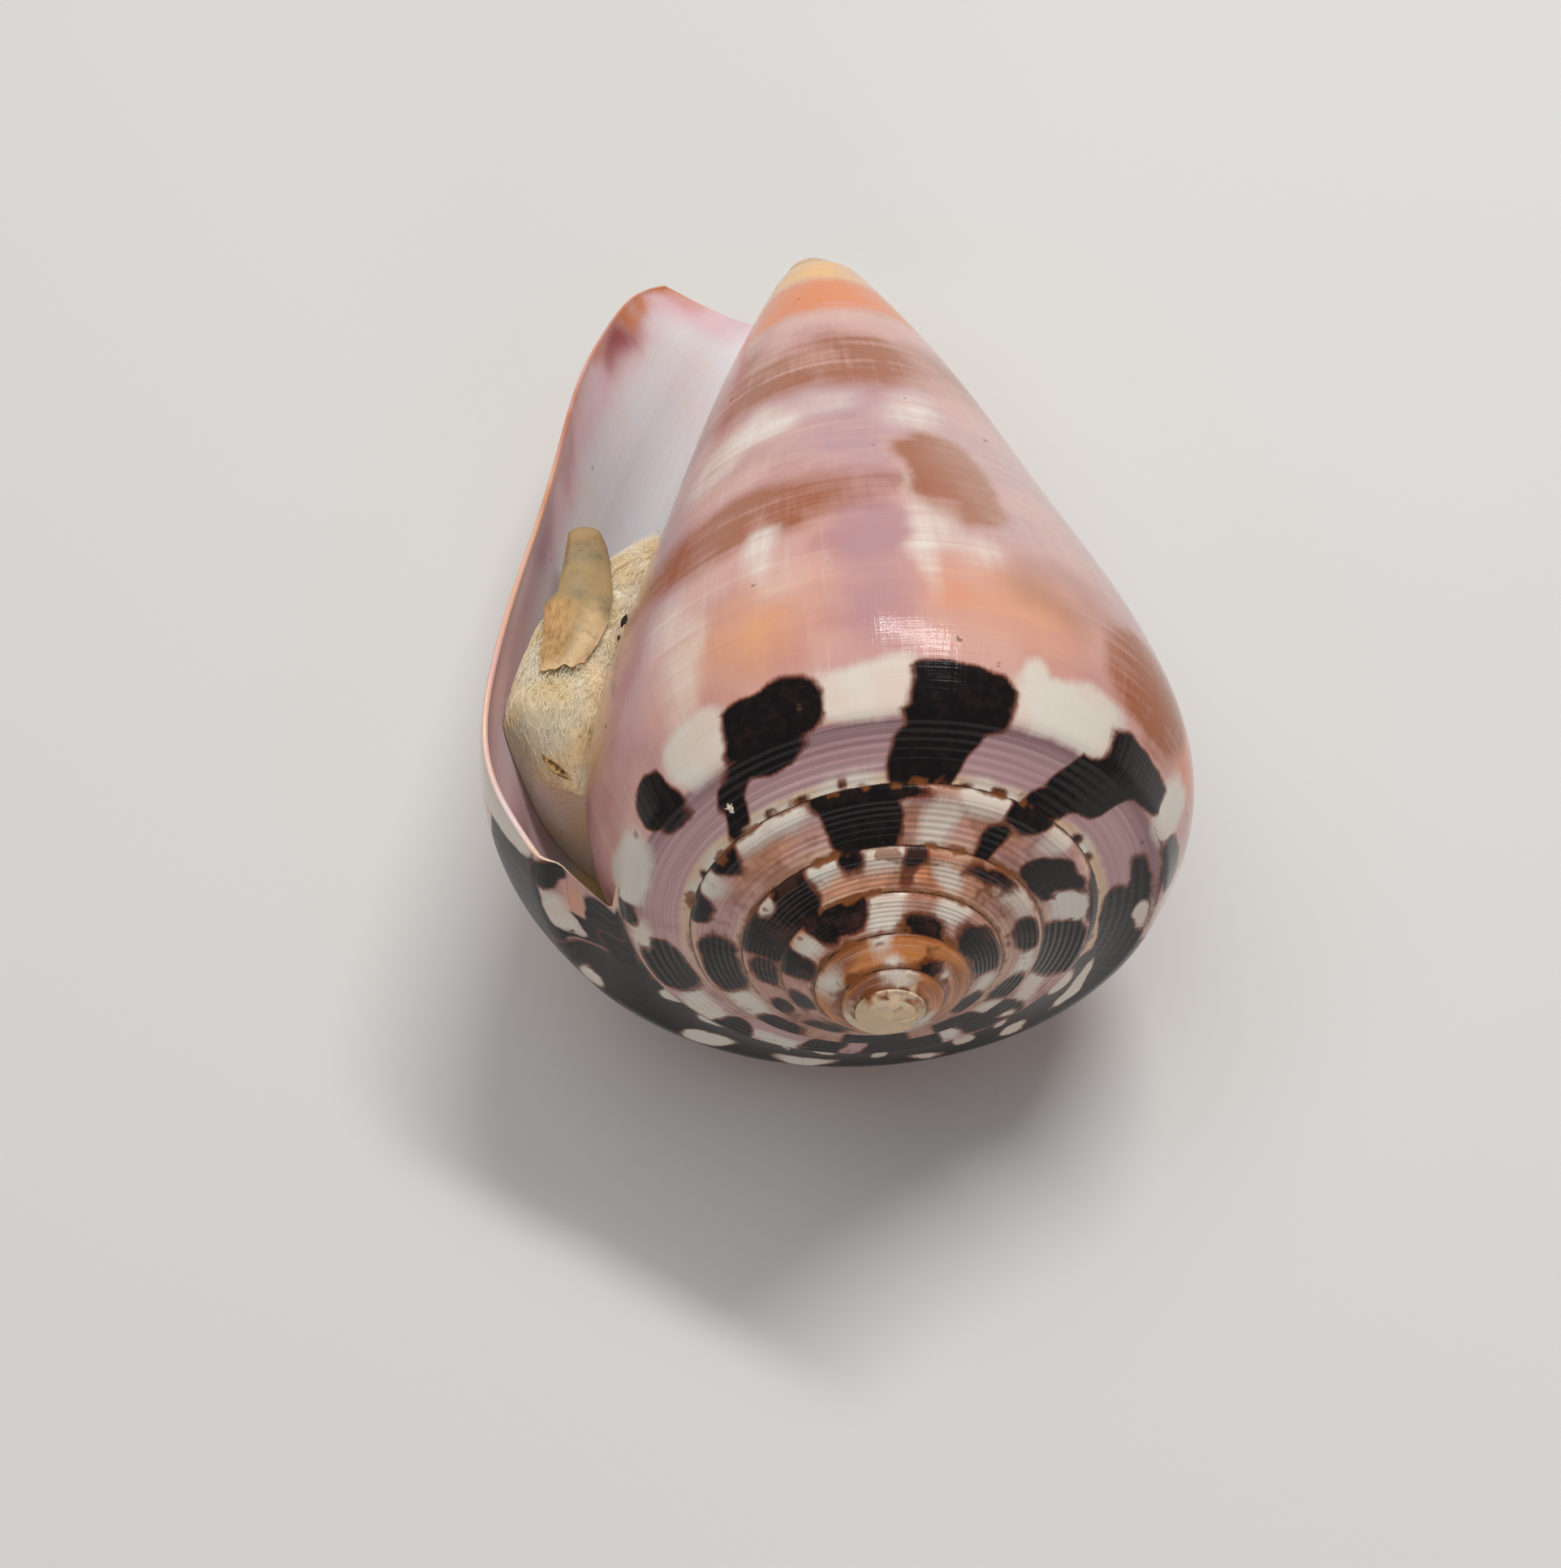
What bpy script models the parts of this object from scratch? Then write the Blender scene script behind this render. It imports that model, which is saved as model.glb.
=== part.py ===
"""Gauguin's cone shell lying on its side, with a cotton plug and the operculum in its aperture.

The shell grew along a spiral round one axis. A place on it is given by its turn and by its section.
The turn is 0 at the outer lip and -1 one whorl before it. A section lies in the half plane through
the axis at that turn. It holds pairs of radius and height, with the apex at height 0 and the front tip
below it. A flank fraction runs down a section from 0 at the shoulder to 1 at the front tip.
"""

import math

import bmesh
import bpy
import numpy as np
from mathutils import Matrix

# Spire
WHORL_RATIO = 1.36
SPIRE_TURNS = 7.5
SHOULDER_RADIUS = 0.02135
SPIRE_SLOPE = 0.495
SHOULDER_STEP = 0.054
RAMP_SAG = 0.012
APEX_DOME = 0.0006

# Flank of the last whorl, from the shoulder to the front tip
FLANK_FRACTIONS = np.array((0.0, 0.07, 0.18, 0.42, 0.72, 1.0))
FLANK_RADII = np.array((SHOULDER_RADIUS, 0.02425, 0.02455, 0.0196, 0.01265, 0.00445))
TIP_DEPTH = 0.0745
TIP_ROUNDING = 0.0006
TIP_ROUNDING_START = 0.965
TIP_DOME = 0.0005

# Outer lip
LIP_AZIMUTH = math.radians(169.9)
LIP_BULGE = 0.0447
LIP_REACH = 0.15
LIP_FLARE = 0.0089
LIP_FLARE_POWER = 10
LIP_TIP_RISE = 0.0007
LIP_CORNER_RISE = 0.0012
LIP_CORNER_POWER = 60
LIP_EDGE_SHARE = 0.45
LIP_EDGE_TAPER = 0.06
LIP_EDGE_BULGE = 0.35
NOTCH_TURNS = 0.022
NOTCH_PLACE = 0.2

# Wall and the hollow inside the last whorl
WALL = 0.0019
WALL_AT_TIP = 0.0010
WALL_THIN_BY = 0.91
WALL_AT_SUTURE = 0.0021
CANAL_TURNS = 0.125
CAVITY_TURNS = 0.75
CANAL_FLOOR_RISE = 0.2

# Cotton plug and operculum
FIT_GAP = 0.0003
PLUG_BOTTOM = 0.06
PLUG_TOP = 0.475
PLUG_TOP_SLANT = 0.08
PLUG_TOP_DROP = 0.15
PLUG_FRONT = 0.015
PLUG_SIDE_DEPTH = 0.01
PLUG_END_DEPTH = 0.02
PLUG_BACK = 0.12
OPERCULUM_ENDS = (0.25, 0.45)
OPERCULUM_MIDDLE = (0.43, 0.73)
OPERCULUM_WIDTH = 0.0046
OPERCULUM_THICKNESS = 0.00035
OPERCULUM_BLUNTNESS = 0.35
OPERCULUM_END_CUT = 0.04
OPERCULUM_ARCH = 0.0003

# Rest: the shell lies on its side, on a flat spot worn on the flank opposite the aperture's rim
REST_TILT = math.radians(18.0)
FLAT_DEPTH = 0.0003

# Steps of the faceted surface
STEPS_PER_TURN = 48
RAMP_STEPS = 2
FLANK_STEPS = 17
FLANK_GRADING = 1.35
PLUG_STEPS = (16, 8, 7)
OPERCULUM_STEPS = (12, 6)
NORMAL_STEP = 0.0005
SHARP_ANGLE = math.radians(40.0)
WELD = 0.000002


def smoothstep(value):
    value = np.clip(value, 0.0, 1.0)
    return value * value * (3.0 - 2.0 * value)


def spline_bends(places, values):
    """Second derivatives of the natural cubic spline through the points."""
    count = len(places)
    gaps = np.diff(places)
    slopes = np.diff(values) / gaps
    matrix = np.eye(count)
    target = np.zeros(count)
    for i in range(1, count - 1):
        matrix[i, i - 1 : i + 2] = (gaps[i - 1], 2.0 * (gaps[i - 1] + gaps[i]), gaps[i])
        target[i] = 6.0 * (slopes[i] - slopes[i - 1])
    return np.linalg.solve(matrix, target)


FLANK_BENDS = spline_bends(FLANK_FRACTIONS, FLANK_RADII)


def flank_radius(fraction):
    """Radius of the lip's section at a flank fraction, before the flare."""
    last = len(FLANK_FRACTIONS) - 2
    i = np.clip(np.searchsorted(FLANK_FRACTIONS, fraction, side="right") - 1, 0, last)
    gap = FLANK_FRACTIONS[i + 1] - FLANK_FRACTIONS[i]
    near = (FLANK_FRACTIONS[i + 1] - fraction) / gap
    far = 1.0 - near
    line = near * FLANK_RADII[i] + far * FLANK_RADII[i + 1]
    bend = (near**3 - near) * FLANK_BENDS[i] + (far**3 - far) * FLANK_BENDS[i + 1]
    rounding = np.clip((fraction - TIP_ROUNDING_START) / (1.0 - TIP_ROUNDING_START), 0.0, 1.0)
    return line + bend * gap**2 / 6.0 - TIP_ROUNDING * rounding**2


def growth(turn):
    return WHORL_RATIO**turn


def lip_share(turn):
    """How far the last whorl has grown: 0 one turn before the lip, and 1 at the lip."""
    return np.clip((growth(turn) - growth(-1.0)) / (1.0 - growth(-1.0)), 0.0, 1.0)


def shoulder(turn):
    radius = SHOULDER_RADIUS * growth(turn)
    return radius, -SPIRE_SLOPE * radius


def tip_depth(turn):
    share = lip_share(turn)
    return TIP_DEPTH - LIP_TIP_RISE * share**3 - LIP_CORNER_RISE * share**LIP_CORNER_POWER


def flank(turn, fraction):
    """Section of the outer surface below the shoulder."""
    flare = LIP_FLARE * lip_share(turn) ** LIP_FLARE_POWER * smoothstep(fraction)
    radius = growth(turn) * flank_radius(fraction) + flare
    height = shoulder(turn)[1] * (1.0 - fraction) - tip_depth(turn) * fraction
    return radius, height


def suture_fraction(turn):
    """Flank fraction where the next whorl is joined on."""
    radius, height = shoulder(turn)
    return SHOULDER_STEP * radius / (tip_depth(turn) + height)


def corner_fraction(turn):
    """Flank fraction where the next whorl's inside begins."""
    return suture_fraction(turn) + WALL_AT_SUTURE / (tip_depth(turn) + shoulder(turn)[1])


def wall_thickness(turn, fraction):
    thickness = WALL + (WALL_AT_TIP - WALL) * smoothstep(fraction / WALL_THIN_BY)
    return thickness * (LIP_EDGE_SHARE + (1.0 - LIP_EDGE_SHARE) * smoothstep(-turn / LIP_EDGE_TAPER))


def inner_flank(turn, fraction):
    """Section of the inside of the wall, which lies one thickness in from the outer surface."""
    radius_before, height_before = flank(turn, np.maximum(fraction - NORMAL_STEP, 0.0))
    radius_after, height_after = flank(turn, np.minimum(fraction + NORMAL_STEP, 1.0))
    run = radius_after - radius_before
    drop = height_after - height_before
    length = np.hypot(run, drop)
    radius, height = flank(turn, fraction)
    thickness = wall_thickness(turn, fraction)
    return radius + drop / length * thickness, height - run / length * thickness


def flank_lead(turn, fraction):
    """Turns by which the lip's edge leads on the flank."""
    return LIP_BULGE * 4.0 * fraction * (1.0 - fraction) * smoothstep(1.0 + turn / LIP_REACH)


def ramp_lead(turn, across):
    """Turns by which the lip's edge lags on the ramp, in the notch."""
    depth = across / NOTCH_PLACE
    return -NOTCH_TURNS * (depth * np.exp(1.0 - depth)) ** 3 * smoothstep(1.0 + turn / LIP_REACH)


def place(turn, radius, height, lead=0.0):
    """Points in the shell's own frame, whose Z axis runs from the front tip to the apex."""
    azimuth = LIP_AZIMUTH - 2.0 * math.pi * (turn + lead)
    parts = np.broadcast_arrays(radius * np.cos(azimuth), radius * np.sin(azimuth), height)
    return np.stack(parts, -1)


def turns_between(first, last):
    """Evenly spaced turns, as a column."""
    return np.linspace(first, last, round((last - first) * STEPS_PER_TURN) + 1)[:, None]


def flank_fractions(turn, end=1.0):
    """Flank fractions of a section's points from the corner down."""
    start = corner_fraction(turn)
    return start + (end - start) * np.linspace(0.0, 1.0, FLANK_STEPS + 1)[None, :] ** FLANK_GRADING


def ramp_section(turn):
    """Section of the ramp from the suture to the shoulder, without the shoulder."""
    across = np.linspace(0.0, 1.0, RAMP_STEPS + 1)[None, :-1]
    suture_radius, suture_height = flank(turn - 1.0, suture_fraction(turn - 1.0))
    radius, height = shoulder(turn)
    sag = RAMP_SAG * radius * np.sin(math.pi * across)
    ramp_radius = suture_radius + (radius - suture_radius) * across
    return across, ramp_radius, suture_height + (height - suture_height) * across - sag


def outer_rows(turn):
    """The outer surface from the suture over the shoulder to the front tip, a row for each turn."""
    across, ramp_radius, ramp_height = ramp_section(turn)
    fraction = np.concatenate([0.0 * turn, suture_fraction(turn), flank_fractions(turn)], 1)
    ramp = place(turn, ramp_radius, ramp_height, ramp_lead(turn, across))
    side = place(turn, *flank(turn, fraction), flank_lead(turn, fraction))
    return np.concatenate([ramp, side], 1)


def canal_end(turn):
    """Flank fraction where the hollow ends: it is open at the front by the lip, and closes behind it."""
    return 1.0 - CANAL_FLOOR_RISE * smoothstep((-turn - CANAL_TURNS) / LIP_REACH)


def inner_rows(turn):
    """The inside of the last whorl's wall, with as many points in a row as outer_rows."""
    across = np.linspace(0.0, 1.0, RAMP_STEPS + 1)[None, :-1]
    fraction = flank_fractions(turn, canal_end(turn))
    fraction = np.concatenate([0.0 * turn, suture_fraction(turn), fraction], 1)
    radius, height = inner_flank(turn, fraction)
    corner_radius, corner_height = flank(turn - 1.0, corner_fraction(turn - 1.0))
    ramp_radius = corner_radius + (radius[:, :1] - corner_radius) * across
    ramp_height = corner_height + (height[:, :1] - corner_height) * across
    ramp = place(turn, ramp_radius, ramp_height, ramp_lead(turn, across))
    side = place(turn, radius, height, flank_lead(turn, fraction))
    return np.concatenate([ramp, side], 1)


def core_rows(turn):
    """The previous whorl's flank, which is the inner side of the hollow."""
    earlier = turn - 1.0
    return place(earlier, *flank(earlier, flank_fractions(earlier, canal_end(turn))))


class Skin:
    """Collects faces of one closed surface and welds them."""

    def __init__(self):
        self.mesh = bmesh.new()

    def add_grid(self, rows):
        """Quads between neighbouring points of a grid."""
        grid = [[self.mesh.verts.new(point) for point in row] for row in rows.tolist()]
        for row, following in zip(grid, grid[1:]):
            for a, b, c, d in zip(row, row[1:], following[1:], following):
                self.mesh.faces.new((a, b, c, d))

    def add_fan(self, loop, centre):
        """Triangles from a closed loop to its centre."""
        rim = [self.mesh.verts.new(point) for point in loop.tolist()]
        hub = self.mesh.verts.new(centre)
        for a, b in zip(rim, rim[1:] + rim[:1]):
            self.mesh.faces.new((a, b, hub))

    def add_face(self, loop):
        """One flat face."""
        self.mesh.faces.new([self.mesh.verts.new(point) for point in loop.tolist()])

    def finish(self, name, matrix, cut_at_floor=False):
        """Welds the surface, places it and returns it as an object."""
        bmesh.ops.remove_doubles(self.mesh, verts=self.mesh.verts, dist=WELD)
        bmesh.ops.recalc_face_normals(self.mesh, faces=self.mesh.faces)
        self.mesh.transform(matrix)
        if cut_at_floor:
            self.cut_below_floor()
        data = bpy.data.meshes.new(name)
        self.mesh.to_mesh(data)
        self.mesh.free()
        data.shade_smooth()
        data.set_sharp_from_angle(angle=SHARP_ANGLE)
        obj = bpy.data.objects.new(name, data)
        bpy.context.scene.collection.objects.link(obj)
        return obj

    def cut_below_floor(self):
        """Cuts the flat spot on which the shell rests."""
        parts = self.mesh.verts[:] + self.mesh.edges[:] + self.mesh.faces[:]
        down = (0.0, 0.0, -1.0)
        cut = bmesh.ops.bisect_plane(self.mesh, geom=parts, dist=WELD, plane_no=down, clear_outer=True)
        edges = [item for item in cut["geom_cut"] if isinstance(item, bmesh.types.BMEdge)]
        bmesh.ops.contextual_create(self.mesh, geom=edges)


def lip_edge(outer, inner):
    """Rows across the lip's edge, rounded forward, from the outer surface to the inside."""
    ahead = np.array((math.sin(LIP_AZIMUTH), -math.cos(LIP_AZIMUTH), 0.0))
    half = np.linalg.norm(outer - inner, axis=1, keepdims=True) / 2.0
    middle = (outer + inner) / 2.0 + ahead * half * 2.0 * LIP_EDGE_BULGE
    middle[0] = outer[0]
    middle[-1] = outer[-1]
    return np.stack([outer, middle, inner])


def build_shell(matrix):
    """The shell's one closed surface."""
    skin = Skin()
    outer = outer_rows(turns_between(-1.0, 0.0))
    skin.add_grid(outer)
    spire = outer_rows(turns_between(-SPIRE_TURNS, -1.0))[:, : RAMP_STEPS + 2]
    skin.add_grid(spire)

    hollow_turns = turns_between(-CAVITY_TURNS, 0.0)
    inner = inner_rows(hollow_turns)
    core = core_rows(hollow_turns)
    skin.add_grid(inner)
    skin.add_grid(core)
    skin.add_grid(lip_edge(outer[-1], inner[-1]))

    open_steps = round(CANAL_TURNS * STEPS_PER_TURN)
    skin.add_grid(np.stack([outer[-1 - open_steps :, -1], inner[-1 - open_steps :, -1]]))
    closed = len(inner) - open_steps
    skin.add_grid(np.stack([inner[:closed, -1], core[:closed, -1]]))
    skin.add_face(np.concatenate([inner[0], core[0][:0:-1]]))

    outer_front = outer[: len(outer) - open_steps, -1]
    hollow_front = [inner[closed - 1 : closed, -1], core[closed - 1 : -1, -1]]
    skin.add_fan(np.concatenate([outer_front, *hollow_front]), (0.0, 0.0, -TIP_DEPTH - TIP_DOME))

    earliest = turns_between(-SPIRE_TURNS - 1.0, -SPIRE_TURNS)
    first_whorl = place(earliest, *flank(earliest, suture_fraction(earliest)))[:, 0]
    skin.add_fan(np.concatenate([first_whorl, spire[0][-2:0:-1]]), (0.0, 0.0, -APEX_DOME))
    return skin.finish("shell", matrix, cut_at_floor=True)


def plug_top(across):
    """Flank fraction of the plug's upper end, which is lower towards the lip."""
    return PLUG_TOP - PLUG_TOP_SLANT * across - PLUG_TOP_DROP * across**4


def plug_front(fraction, across):
    """Turn of the plug's front, which bulges in the middle."""
    height = (fraction - PLUG_BOTTOM) / (plug_top(across) - PLUG_BOTTOM)
    side = PLUG_SIDE_DEPTH * (2.0 * across - 1.0) ** 4
    end = PLUG_END_DEPTH * (2.0 * height - 1.0) ** 6
    return -(PLUG_FRONT + side + end)


def plug_point(height, across, depth):
    """A point of the plug: height runs up it, and across runs from the body whorl to the lip."""
    fraction = PLUG_BOTTOM + (plug_top(across) - PLUG_BOTTOM) * height
    front = plug_front(fraction, across)
    turn = front - (PLUG_BACK + front) * depth
    return hollow_point(turn, fraction, across)


def hollow_point(turn, fraction, across):
    """A point between the body whorl and the outer wall, clear of both by the gap."""
    lead = flank_lead(turn, fraction)
    core_radius, core_height = flank(turn + lead - 1.0, fraction)
    wall_radius, wall_height = inner_flank(turn, fraction)
    width = np.hypot(wall_radius - core_radius, wall_height - core_height)
    share = FIT_GAP / width + (1.0 - 2.0 * FIT_GAP / width) * across
    radius = core_radius + (wall_radius - core_radius) * share
    height = core_height + (wall_height - core_height) * share
    return place(turn, radius, height, lead)


def build_plug(matrix):
    """The wad of cotton wool, a closed block that follows the hollow."""
    heights, acrosses, depths = (np.linspace(0.0, 1.0, count + 1) for count in PLUG_STEPS)
    skin = Skin()
    for depth in (0.0, 1.0):
        skin.add_grid(plug_point(heights[:, None], acrosses[None, :], depth))
    for across in (0.0, 1.0):
        skin.add_grid(plug_point(heights[:, None], across, depths[None, :]))
    for height in (0.0, 1.0):
        skin.add_grid(plug_point(height, acrosses[:, None], depths[None, :]))
    return skin.finish("cotton_plug", matrix)


def operculum_point(along, side, lift):
    """A point of the operculum: along its length from 0 to 1, and to each side from -1 to 1."""
    fraction = OPERCULUM_ENDS[0] + (OPERCULUM_ENDS[1] - OPERCULUM_ENDS[0]) * along
    middle = OPERCULUM_MIDDLE[0] + (OPERCULUM_MIDDLE[1] - OPERCULUM_MIDDLE[0]) * along**2
    radius = flank(-1.0, fraction)[0]
    width = flank(0.0, fraction)[0] - radius
    angle = math.pi * (OPERCULUM_END_CUT + (1.0 - 2.0 * OPERCULUM_END_CUT) * along)
    half = OPERCULUM_WIDTH / 2.0 * np.sin(angle) ** OPERCULUM_BLUNTNESS
    across = middle + side * half / width
    arch = OPERCULUM_ARCH * (1.0 - side**2)
    turn = -PLUG_FRONT + (lift + arch) / (2.0 * math.pi * radius)
    return hollow_point(turn, fraction, across)


def build_operculum(matrix):
    """The thin horny plate on the plug's front."""
    along = np.linspace(0.0, 1.0, OPERCULUM_STEPS[0] + 1)[:, None]
    side = np.linspace(-1.0, 1.0, OPERCULUM_STEPS[1] + 1)[None, :]
    lifts = (FIT_GAP, FIT_GAP + OPERCULUM_THICKNESS)
    skin = Skin()
    faces = [operculum_point(along, side, lift) for lift in lifts]
    for face in faces:
        skin.add_grid(face)
    for edge in (np.s_[0], np.s_[-1], np.s_[:, 0], np.s_[:, -1]):
        skin.add_grid(np.stack([face[edge] for face in faces]))
    return skin.finish("operculum", matrix)


def rest_matrix():
    """Turns the shell on its side, centres it and sinks it into the floor by the flat's depth."""
    turned = Matrix.Rotation(math.pi / 2.0 - REST_TILT, 4, "X")
    surface = outer_rows(turns_between(-SPIRE_TURNS, 0.0)).reshape(-1, 3)
    points = np.vstack([surface, (0.0, 0.0, -APEX_DOME)]) @ np.array(turned.to_3x3()).T
    low = points.min(0)
    high = points.max(0)
    middle = (low + high) / 2.0
    return Matrix.Translation((-middle[0], -middle[1], -low[2] - FLAT_DEPTH)) @ turned


def add_material(obj, name, colour, roughness):
    material = bpy.data.materials.new(name)
    material.use_nodes = True
    shader = material.node_tree.nodes["Principled BSDF"]
    shader.inputs["Base Color"].default_value = (*colour, 1.0)
    shader.inputs["Roughness"].default_value = roughness
    shader.inputs["Metallic"].default_value = 0.0
    obj.data.materials.append(material)


def main():
    for obj in list(bpy.data.objects):
        bpy.data.objects.remove(obj)
    matrix = rest_matrix()
    add_material(build_shell(matrix), "shell", (0.62, 0.42, 0.36), 0.22)
    add_material(build_plug(matrix), "cotton", (0.60, 0.50, 0.33), 0.95)
    add_material(build_operculum(matrix), "horn", (0.30, 0.25, 0.14), 0.45)


main()
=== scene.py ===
"""The look of a cone shell that lies on its side, with a cotton plug and its operculum.

A place on the shell is given by its turn and its section place. The turn is 0 at the outer lip and
-1 one whorl before it. The section place runs down the half plane through the axis at that turn:
from -1 at the suture to 0 at the shoulder, and from there to 1 at the front tip.
"""

import logging
import math
from collections import defaultdict
from dataclasses import dataclass, field
from enum import Enum

import bpy
import numpy as np
from mathutils import Matrix, Vector


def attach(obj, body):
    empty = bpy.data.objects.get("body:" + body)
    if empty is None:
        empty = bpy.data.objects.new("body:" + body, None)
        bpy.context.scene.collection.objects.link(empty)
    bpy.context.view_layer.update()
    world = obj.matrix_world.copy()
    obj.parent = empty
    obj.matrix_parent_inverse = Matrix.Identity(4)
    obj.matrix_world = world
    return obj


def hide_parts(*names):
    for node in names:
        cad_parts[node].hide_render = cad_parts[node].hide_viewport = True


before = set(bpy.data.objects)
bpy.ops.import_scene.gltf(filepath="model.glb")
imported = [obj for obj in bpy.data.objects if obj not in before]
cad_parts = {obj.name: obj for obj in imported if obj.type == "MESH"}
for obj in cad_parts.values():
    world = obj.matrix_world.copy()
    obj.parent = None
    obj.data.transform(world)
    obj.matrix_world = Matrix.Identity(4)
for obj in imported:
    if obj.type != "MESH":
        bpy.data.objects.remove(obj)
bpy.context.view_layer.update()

Array = np.ndarray
Colour = tuple[float, float, float, float]
Rows = tuple[tuple[float, ...], ...]

LOG = logging.getLogger("cone_shell")
MM = 0.001
BODY = "root"
GROWTH_MAP = "growth"
GROWTH_SPAN = 60.0
BLOTS = ("dark", "pale")
WASHES = ("lilac", "peach", "orange", "brown", "cream", "white", "plum_stain_and_shade", "slate", "mustard_and_painted_light")
WELD = 0.000002
IMAGE_LONG_SIDE = 1932


def srgb(red: int, green: int, blue: int) -> Colour:
    """Turns a screen colour of three bytes into linear light.

    Args:
        red: Red from 0 to 255.
        green: Green from 0 to 255.
        blue: Blue from 0 to 255.

    Returns:
        The linear colour with an alpha of 1.
    """
    parts = [value / 255.0 for value in (red, green, blue)]
    linear = [p / 12.92 if p <= 0.04045 else ((p + 0.055) / 1.055) ** 2.4 for p in parts]
    return (linear[0], linear[1], linear[2], 1.0)


def smoothstep(value: Array | float) -> Array:
    """Eases a share from 0 to 1."""
    value = np.clip(value, 0.0, 1.0)
    return value * value * (3.0 - 2.0 * value)


class Side(Enum):
    """Which side of the shell's wall a patch of surface is on."""

    OUTER = "outer"
    INNER = "inner"
    CORE = "core"
    RIM = "rim"


@dataclass(frozen=True)
class ShellForm:
    """The spiral surface of the shell, in its own frame with Z from the front tip to the apex."""

    whorl_ratio: float = 1.36
    spire_turns: float = 7.5
    shoulder_radius: float = 0.02135
    spire_slope: float = 0.495
    shoulder_step: float = 0.054
    ramp_sag: float = 0.012
    apex_dome: float = 0.0006
    flank_fractions: tuple[float, ...] = (0.0, 0.07, 0.18, 0.42, 0.72, 1.0)
    flank_radii: tuple[float, ...] = (0.02135, 0.02425, 0.02455, 0.0196, 0.01265, 0.00445)
    tip_depth: float = 0.0745
    tip_rounding: float = 0.0006
    tip_rounding_start: float = 0.965
    tip_dome: float = 0.0005
    lip_azimuth: float = math.radians(169.9)
    lip_bulge: float = 0.0447
    lip_reach: float = 0.15
    lip_flare: float = 0.0089
    lip_flare_power: int = 10
    lip_tip_rise: float = 0.0002
    lip_corner_rise: float = 0.0012
    lip_corner_power: int = 40
    lip_corner_lead: float = 0.012
    lip_corner_place: float = 0.90
    lip_corner_width: float = 0.09
    lip_edge_share: float = 0.22
    lip_edge_taper: float = 0.06
    notch_turns: float = 0.023
    notch_place: float = 0.12
    notch_side: float = 0.07
    notch_reach: float = 0.60
    notch_wall_share: float = 0.15
    notch_wall_taper: float = 0.06
    wall: float = 0.0019
    wall_at_tip: float = 0.0010
    wall_thin_by: float = 0.91
    wall_at_suture: float = 0.0021
    canal_turns: float = 0.125
    cavity_turns: float = 0.75
    canal_floor_rise: float = 0.2
    shoulder_rounding: float = 0.0007
    rest_tilt: float = math.radians(18.0)
    flat_depth: float = 0.0003
    solid_steps: int = 48
    solid_flank_steps: int = 17
    solid_grading: float = 1.35
    flank_slack: float = 1.05
    rounding_reach: float = 1.6
    slope_step: float = 0.0005

    def _bends(self) -> Array:
        """Second derivatives of the natural cubic spline through the flank's radii."""
        places = np.array(self.flank_fractions)
        count = len(places)
        gaps = np.diff(places)
        slopes = np.diff(np.array(self.flank_radii)) / gaps
        matrix = np.eye(count)
        target = np.zeros(count)
        for i in range(1, count - 1):
            matrix[i, i - 1 : i + 2] = (gaps[i - 1], 2.0 * (gaps[i - 1] + gaps[i]), gaps[i])
            target[i] = 6.0 * (slopes[i] - slopes[i - 1])
        return np.linalg.solve(matrix, target)

    def flank_radius(self, fraction: Array) -> Array:
        """Radius of the lip's section at a flank fraction, before the flare."""
        places = np.array(self.flank_fractions)
        radii = np.array(self.flank_radii)
        bends = self._bends()
        i = np.clip(np.searchsorted(places, fraction, side="right") - 1, 0, len(places) - 2)
        gap = places[i + 1] - places[i]
        near = (places[i + 1] - fraction) / gap
        far = 1.0 - near
        line = near * radii[i] + far * radii[i + 1]
        bend = (near**3 - near) * bends[i] + (far**3 - far) * bends[i + 1]
        start = self.tip_rounding_start
        rounding = np.clip((fraction - start) / (1.0 - start), 0.0, 1.0)
        return line + bend * gap**2 / 6.0 - self.tip_rounding * rounding**2

    def growth(self, turn: Array | float) -> Array:
        """Size of a section in terms of the lip's."""
        return self.whorl_ratio ** np.asarray(turn, float)

    def lip_share(self, turn: Array) -> Array:
        """How far the last whorl has grown, from 0 one turn before the lip to 1 at the lip."""
        first = self.growth(-1.0)
        return np.clip((self.growth(turn) - first) / (1.0 - first), 0.0, 1.0)

    def shoulder(self, turn: Array) -> tuple[Array, Array]:
        """Radius and height of the shoulder."""
        radius = self.shoulder_radius * self.growth(turn)
        return radius, -self.spire_slope * radius

    def tip(self, turn: Array) -> Array:
        """Depth of the front tip below the apex."""
        share = self.lip_share(turn)
        rise = self.lip_tip_rise * share**3 + self.lip_corner_rise * share**self.lip_corner_power
        return self.tip_depth - rise

    def flank_length(self, turn: Array) -> Array:
        """Height of the flank from the front tip to the shoulder."""
        return self.tip(turn) + self.shoulder(turn)[1]

    def flank(self, turn: Array, fraction: Array) -> tuple[Array, Array]:
        """Radius and height of the outer surface below the shoulder."""
        share = self.lip_share(turn)
        flare = self.lip_flare * share**self.lip_flare_power * smoothstep(fraction)
        radius = self.growth(turn) * self.flank_radius(fraction) + flare
        height = self.shoulder(turn)[1] * (1.0 - fraction) - self.tip(turn) * fraction
        return radius, height

    def suture_fraction(self, turn: Array) -> Array:
        """Flank fraction where the next whorl is joined on."""
        return self.shoulder_step * self.shoulder(turn)[0] / self.flank_length(turn)

    def corner_fraction(self, turn: Array) -> Array:
        """Flank fraction where the next whorl's inside begins, close to the suture beside the notch."""
        thin = self.notch_wall_share
        share = thin + (1.0 - thin) * smoothstep(np.abs(turn + 1.0) / self.notch_wall_taper)
        return self.suture_fraction(turn) + self.wall_at_suture * share / self.flank_length(turn)

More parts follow.
